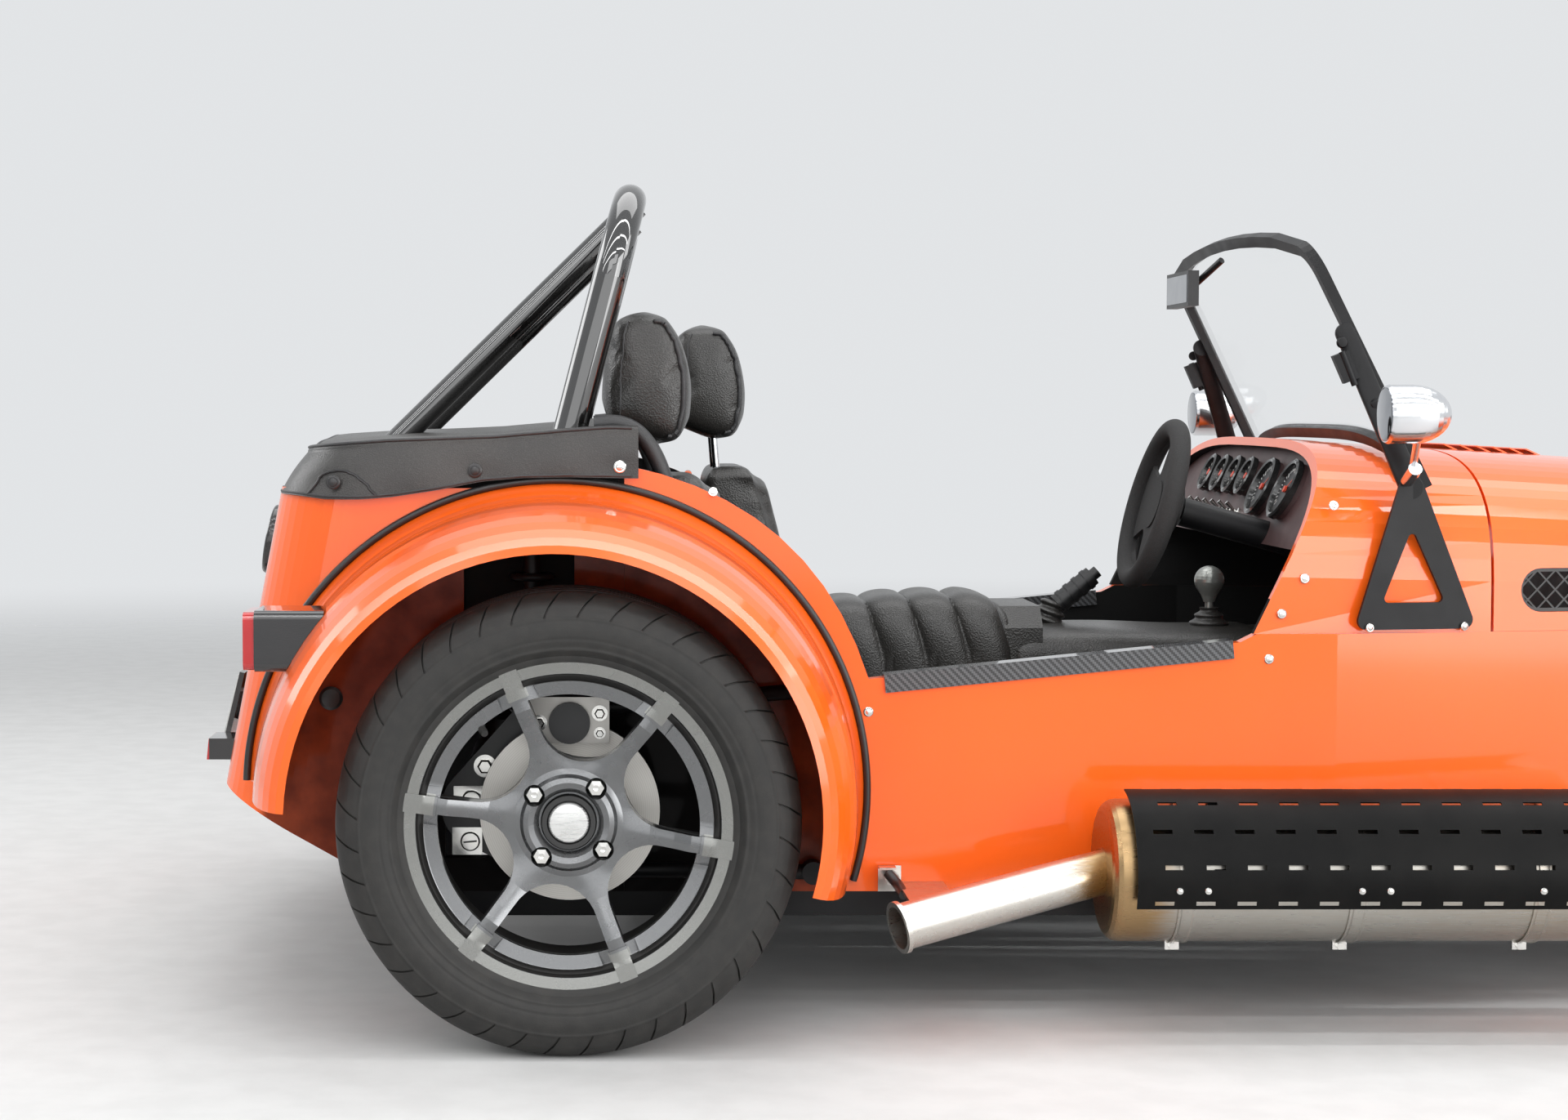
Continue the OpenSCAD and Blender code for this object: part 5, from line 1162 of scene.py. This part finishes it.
# %% Dials
dash_slope = 0.48
dash_normal = unit((-1, 0, dash_slope))
dash_up = unit((dash_slope, 0, 1))
dash_across = np.array((0, 1.0, 0))
dial_face = finish("dial_face", pebbled((0.012, 0.012, 0.013), (0.018, 0.018, 0.020), 0.35))
dial_mark = finish("dial_mark", pebbled((0.72, 0.72, 0.70), (0.80, 0.80, 0.78), 0.5))
needle_red = finish("needle_red", pebbled((0.60, 0.05, 0.02), (0.66, 0.07, 0.03), 0.4))
large, small = 0.042, 0.028
dials = [(-160, 678, large), (-290, 678, large)] + [(y, 690, small) for y in (-40, 40, 120, 200)]
needle_turn = 2.4


def on_dash(y, z):
    """A place on the dash's face, which leans forward as it climbs."""
    return from_axle((902 + (z - 491) * dash_slope, y, z))


bezels, faces, marks, needles = [], [], [], []
for y, z, r in dials:
    at = on_dash(y, z) + 0.0068 * dash_normal
    loop = [(r - 0.006, 0.001), (r, 0), (r + 0.0025, 0), (r + 0.0025, 0.008), (r - 0.001, 0.010),
            (r - 0.0045, 0.0085), (r - 0.006, 0.001)]
    bezels.append(revolved(loop, at, dash_normal, 56))
    disc = [(0, 0.0005), (r - 0.004, 0.0005), (r - 0.004, 0.0022), (0, 0.0022)]
    faces.append(revolved(disc, at, dash_normal, 40))
    t = np.radians(np.linspace(-45, 225, 25 if r == large else 13))[:, None]
    arm = np.cos(t) * dash_across + np.sin(t) * dash_up
    long = np.where(np.arange(len(t)) % 4 == 0, 0.0042, 0.0024)[:, None] * r / large
    marks.append(blocks(at + (r * 0.80 - long) * arm + 0.0024 * dash_normal, long * arm,
                        0.0006 * np.cross(arm, dash_normal), 0.0003 * dash_normal))
    point = math.cos(needle_turn) * dash_across + math.sin(needle_turn) * dash_up
    needles.append(blocks(at + 0.30 * r * point + 0.004 * dash_normal, 0.40 * r * point,
                          0.0008 * np.cross(point, dash_normal), 0.0004 * dash_normal))
    needles.append(revolved([(0, 0.003), (0.005, 0.003), (0.005, 0.006), (0, 0.0065)], at, dash_normal, 20))
piece("dial_bezels", bezels, lamp_black, crease=35)
piece("dial_faces", faces, dial_face)
piece("dial_marks", marks, dial_mark)
piece("dial_needles", needles, needle_red)

# %% Switches
toggle_nut = [(0, 0), (0.0075, 0), (0.0075, 0.004), (0.0045, 0.005), (0.0040, 0.008), (0, 0.008)]
toggles = []
for y in range(-60, 191, 50):
    at = on_dash(y, 640)
    toggles.append(revolved(toggle_nut, at, dash_normal, 20))
    stick = [at + 0.006 * dash_normal, at + 0.024 * dash_normal + 0.007 * dash_up]
    toggles.append(tube(stick, [0.0018, 0.0032], 10))
piece("dash_toggles", toggles, bright)

# %% [markdown]
# ## Exhaust bands and shield bolts
# Three straps hold the silencer. Each is a thin ring with rolled edges and a clamp bolt below. Pairs of small
# button-head bolts carry the heat shield.

# %% Exhaust details
can_y, can_z = -602, 208
band = [(0.0898, -0.011), (0.0922, -0.011), (0.0926, -0.008), (0.0914, -0.006), (0.0914, 0.006),
        (0.0926, 0.008), (0.0922, 0.011), (0.0898, 0.011), (0.0898, -0.011)]
clamp_nut = [(0, 0), (0.0048, 0), (0.0048, 0.005), (0, 0.005)]
bands, clamps = [], []
for x in (768, 981, 1209):
    at = from_axle((x, can_y, can_z))
    bands.append(revolved(band, at, (1, 0, 0), 72))
    foot = at + (-0.004, -0.010, -0.094)
    clamps.append(blocks(foot, (0.009, 0, 0), (0, 0.003, 0), (0, 0, 0.006)))
    clamps.append(revolved(clamp_nut, foot + (0, -0.003, -0.001), (0, -1, 0), 6))
    clamps.append(tube([foot + (0, 0.016, -0.001), foot + (0, -0.003, -0.001)], 0.0026, 10, up=(0, 0, 1)))
piece("silencer_bands", bands, exhaust_steel, crease=30)
piece("band_clamps", clamps, bright, crease=30)
shield_rows = from_axle([(x, -706.7, 199) for x in (754, 789, 979, 1014, 1203, 1238)])
studs("shield_bolts", shield_rows, np.repeat([(0, -1.0, 0)], 6, 0), bright, 0.0036)

# %% [markdown]
# A zinc bracket at the foot of the body hangs the tailpipe on a rubber block.

# %% Exhaust hanger
zinc_at = from_axle((417, -505, 180))
hanger_bolt = [(0, 0), (0.0075, 0), (0.0075, 0.0015), (0.0055, 0.0016), (0.0055, 0.006), (0, 0.006)]
hanger = [blocks(zinc_at, (0.015, 0, 0), (0, 0.0016, 0), (0, 0, 0.017)),
          blocks(zinc_at + (-0.004, -0.010, 0.0155), (0.011, 0, 0), (0, 0.010, 0), (0, 0, 0.0015)),
          revolved(hanger_bolt, zinc_at + (0.002, -0.0016, -0.002), (0, -1, 0), 6)]
piece("exhaust_hanger", hanger, bright, crease=30)
block_path = from_axle([(413, -520, 190), (425, -530, 176), (430, -560, 168)])
piece("exhaust_hanger_rubber", [tube(smooth_path(block_path, 8), 0.007, 12)], bead_rubber)

# %% [markdown]
# ## The blank number plate
# A plate stands on a black holder behind the tail. It carries nothing.

# %% Number plate
plate_at = from_axle((-474, 0, 370))
plate_up = unit((28.0, 0, 116.0))
plate_out = np.array((-plate_up[2], 0, plate_up[0]))
plate_white = finish("plate_white", pebbled((0.70, 0.70, 0.68), (0.76, 0.76, 0.74), 0.35))
foot_places = np.array([plate_at - 0.012 * plate_out + (0, y, 0) for y in (-0.15, 0.15)])
holder = [blocks(plate_at, 0.0035 * plate_out, (0, 0.262, 0), 0.058 * plate_up),
          blocks(foot_places, 0.011 * plate_out, (0, 0.02, 0), 0.02 * plate_up)]
piece("plate_holder", holder, lamp_black)
plate = blocks(plate_at + 0.0045 * plate_out, 0.0011 * plate_out, (0, 0.256, 0), 0.053 * plate_up)
piece("plate_blank", [plate], plate_white)

# %% [markdown]
# ## Fittings behind the rear wheels
# Through the spokes the hub carrier shows two zinc plates with slotted screws and a bolt on its washer, and
# the caliper shows its bolts. A rubber plug closes a hole in the tub's side.

# %% Axle fittings
screw_head = [(0, 0), (0.0125, 0), (0.0125, 0.003), (0.0105, 0.005), (0, 0.0052)]
tub_plug = [(0, -0.001), (0.0155, -0.001), (0.0155, 0.002), (0.012, 0.004), (0.008, 0.003), (0, 0.003)]
carrier_bolts = [(-108, 589.3, 339, 0.0145)]
caliper_bolts = [(38, 637.3, 412, 0.010), (38, 637.3, 387, 0.0075), (-38, 637.3, 400, 0.010)]
slot_half = np.array((0.0085, 0, 0.0008))
zinc_plates, zinc_bolts, plugs = [], [], []
for side in (-1, 1):
    out = np.array((0, side, 0.0))
    for x, z in ((-129, 296), (-131, 243)):
        at = from_axle((x, side * 590.5, z))
        zinc_plates.append(blocks(at, (0.019, 0, 0), 0.0015 * out, (0, 0, 0.0175)))
        zinc_bolts.append(revolved(screw_head, at + (0.004, side * 0.0015, 0), out, 32))
        plugs.append(blocks(at + (0.004, side * 0.0065, 0), slot_half, 0.0004 * out, (0.0001, 0, -0.0011)))
    for x, y, z, size in carrier_bolts + caliper_bolts:
        at = from_axle((x, side * y, z))
        hexagon = [(0, 0.001), (0.68 * size, 0.001), (0.68 * size, 0.008), (0.5 * size, 0.010), (0, 0.010)]
        zinc_bolts.append(revolved([(0, 0), (size, 0), (size, 0.002), (0, 0.002)], at, out, 32))
        zinc_bolts.append(revolved(hexagon, at, out, 6))
    plugs.append(revolved(tub_plug, from_axle((-313, side * 500.3, 416)), out, 32))
piece("carrier_plates", zinc_plates, bright, crease=30)
piece("axle_bolts", zinc_bolts, bright, crease=30)
piece("tub_plugs", plugs, bead_rubber, crease=30)

# %% [markdown]
# ## Windscreen fittings and mirrors
# A hinge block on each stanchion carries the sidescreen's pin. Bolts fix the stanchion to the frame and the
# scuttle. The mirrors' faces are thin pieces of dark glass: discs in the door mirrors and a plate in the
# cabin's.

# %% Windscreen fittings
screen_bolt = [(0, 0), (0.0075, 0), (0.0075, 0.002), (0.0058, 0.0045), (0, 0.0052)]


def proud(places, amount):
    """Places moved out from the middle of the car by an amount in millimetres."""
    return from_axle(places + np.sign(places) * (0, amount, 0))


screen_bolts = both([(1015, 440, 880), (1057, 452, 799), (1083, 470, 724)])
fittings = [revolved(screen_bolt, p, d, 24)
            for p, d in zip(proud(screen_bolts, 5), unit(screen_bolts * (0, 1, 0)))]
for p in from_axle(both([(1019, 448, 848)])):
    side = np.sign(p[1])
    fittings.append(blocks(p, (0.010, 0, 0.004), (0, 0.006, 0), (-0.008, 0, 0.018)))
    fittings.append(tube([p + (0.012, side * 0.004, -0.024), p + (-0.006, side * 0.004, 0.020)], 0.0045, 12))
piece("screen_fittings", fittings, black_coat, crease=35)
triangle_bolts = both([(1042, 494, 508), (1173, 471, 508)])
studs("stanchion_bolts", proud(triangle_bolts, 5.5), unit(triangle_bolts * (0.17, 1, 0)), bright, 0.0048)

# %% Mirror faces
mirror_glass = finish("mirror_glass", brushed((0.30, 0.31, 0.33), (0.34, 0.35, 0.37), 0.05), Metallic=1.0)
mirror_disc = [(0, -0.001), (0.0345, -0.001), (0.0345, 0.0008), (0.0325, 0.0014), (0, 0.0014)]
mirror_faces = [revolved(mirror_disc, p, (-1, 0, 0), 40) for p in from_axle(both([(1040, 560, 786)]))]
mirror_faces.append(blocks(from_axle((905.6, 65, 971)), (0.0006, 0, 0), (0, 0.069, 0), (0, 0, 0.0205)))
piece("mirror_faces", mirror_faces, mirror_glass)

# %% [markdown]
# ## The floor
# The studio's floor is pale concrete. It fades out into the backdrop between three and nine metres from the
# car, so that no horizon shows, and it is staging, not a part of the car.

# %% Floor
reach = 60.0
floor_mesh = bpy.data.meshes.new("floor")
floor_corners = [(-reach, -reach, 0), (reach, -reach, 0), (reach, reach, 0), (-reach, reach, 0)]
floor_mesh.from_pydata(floor_corners, [], [(0, 1, 2, 3)])
floor = bpy.data.objects.new("floor", floor_mesh)


def floor_recipe(place, put):
    """Pale concrete whose alpha falls from 1 to 0 with the distance from the car."""
    x, y, z = place.parts()
    pebbled((0.60, 0.60, 0.595), (0.64, 0.64, 0.635), 0.85, 40.0, 0.001)(place, put)
    put("Alpha", 1.0 - ((x ** 2 + y ** 2) ** 0.5).step(3.0, 9.0))


floor_mesh.materials.append(finish("pale_floor", floor_recipe))
bpy.context.scene.collection.objects.link(floor)
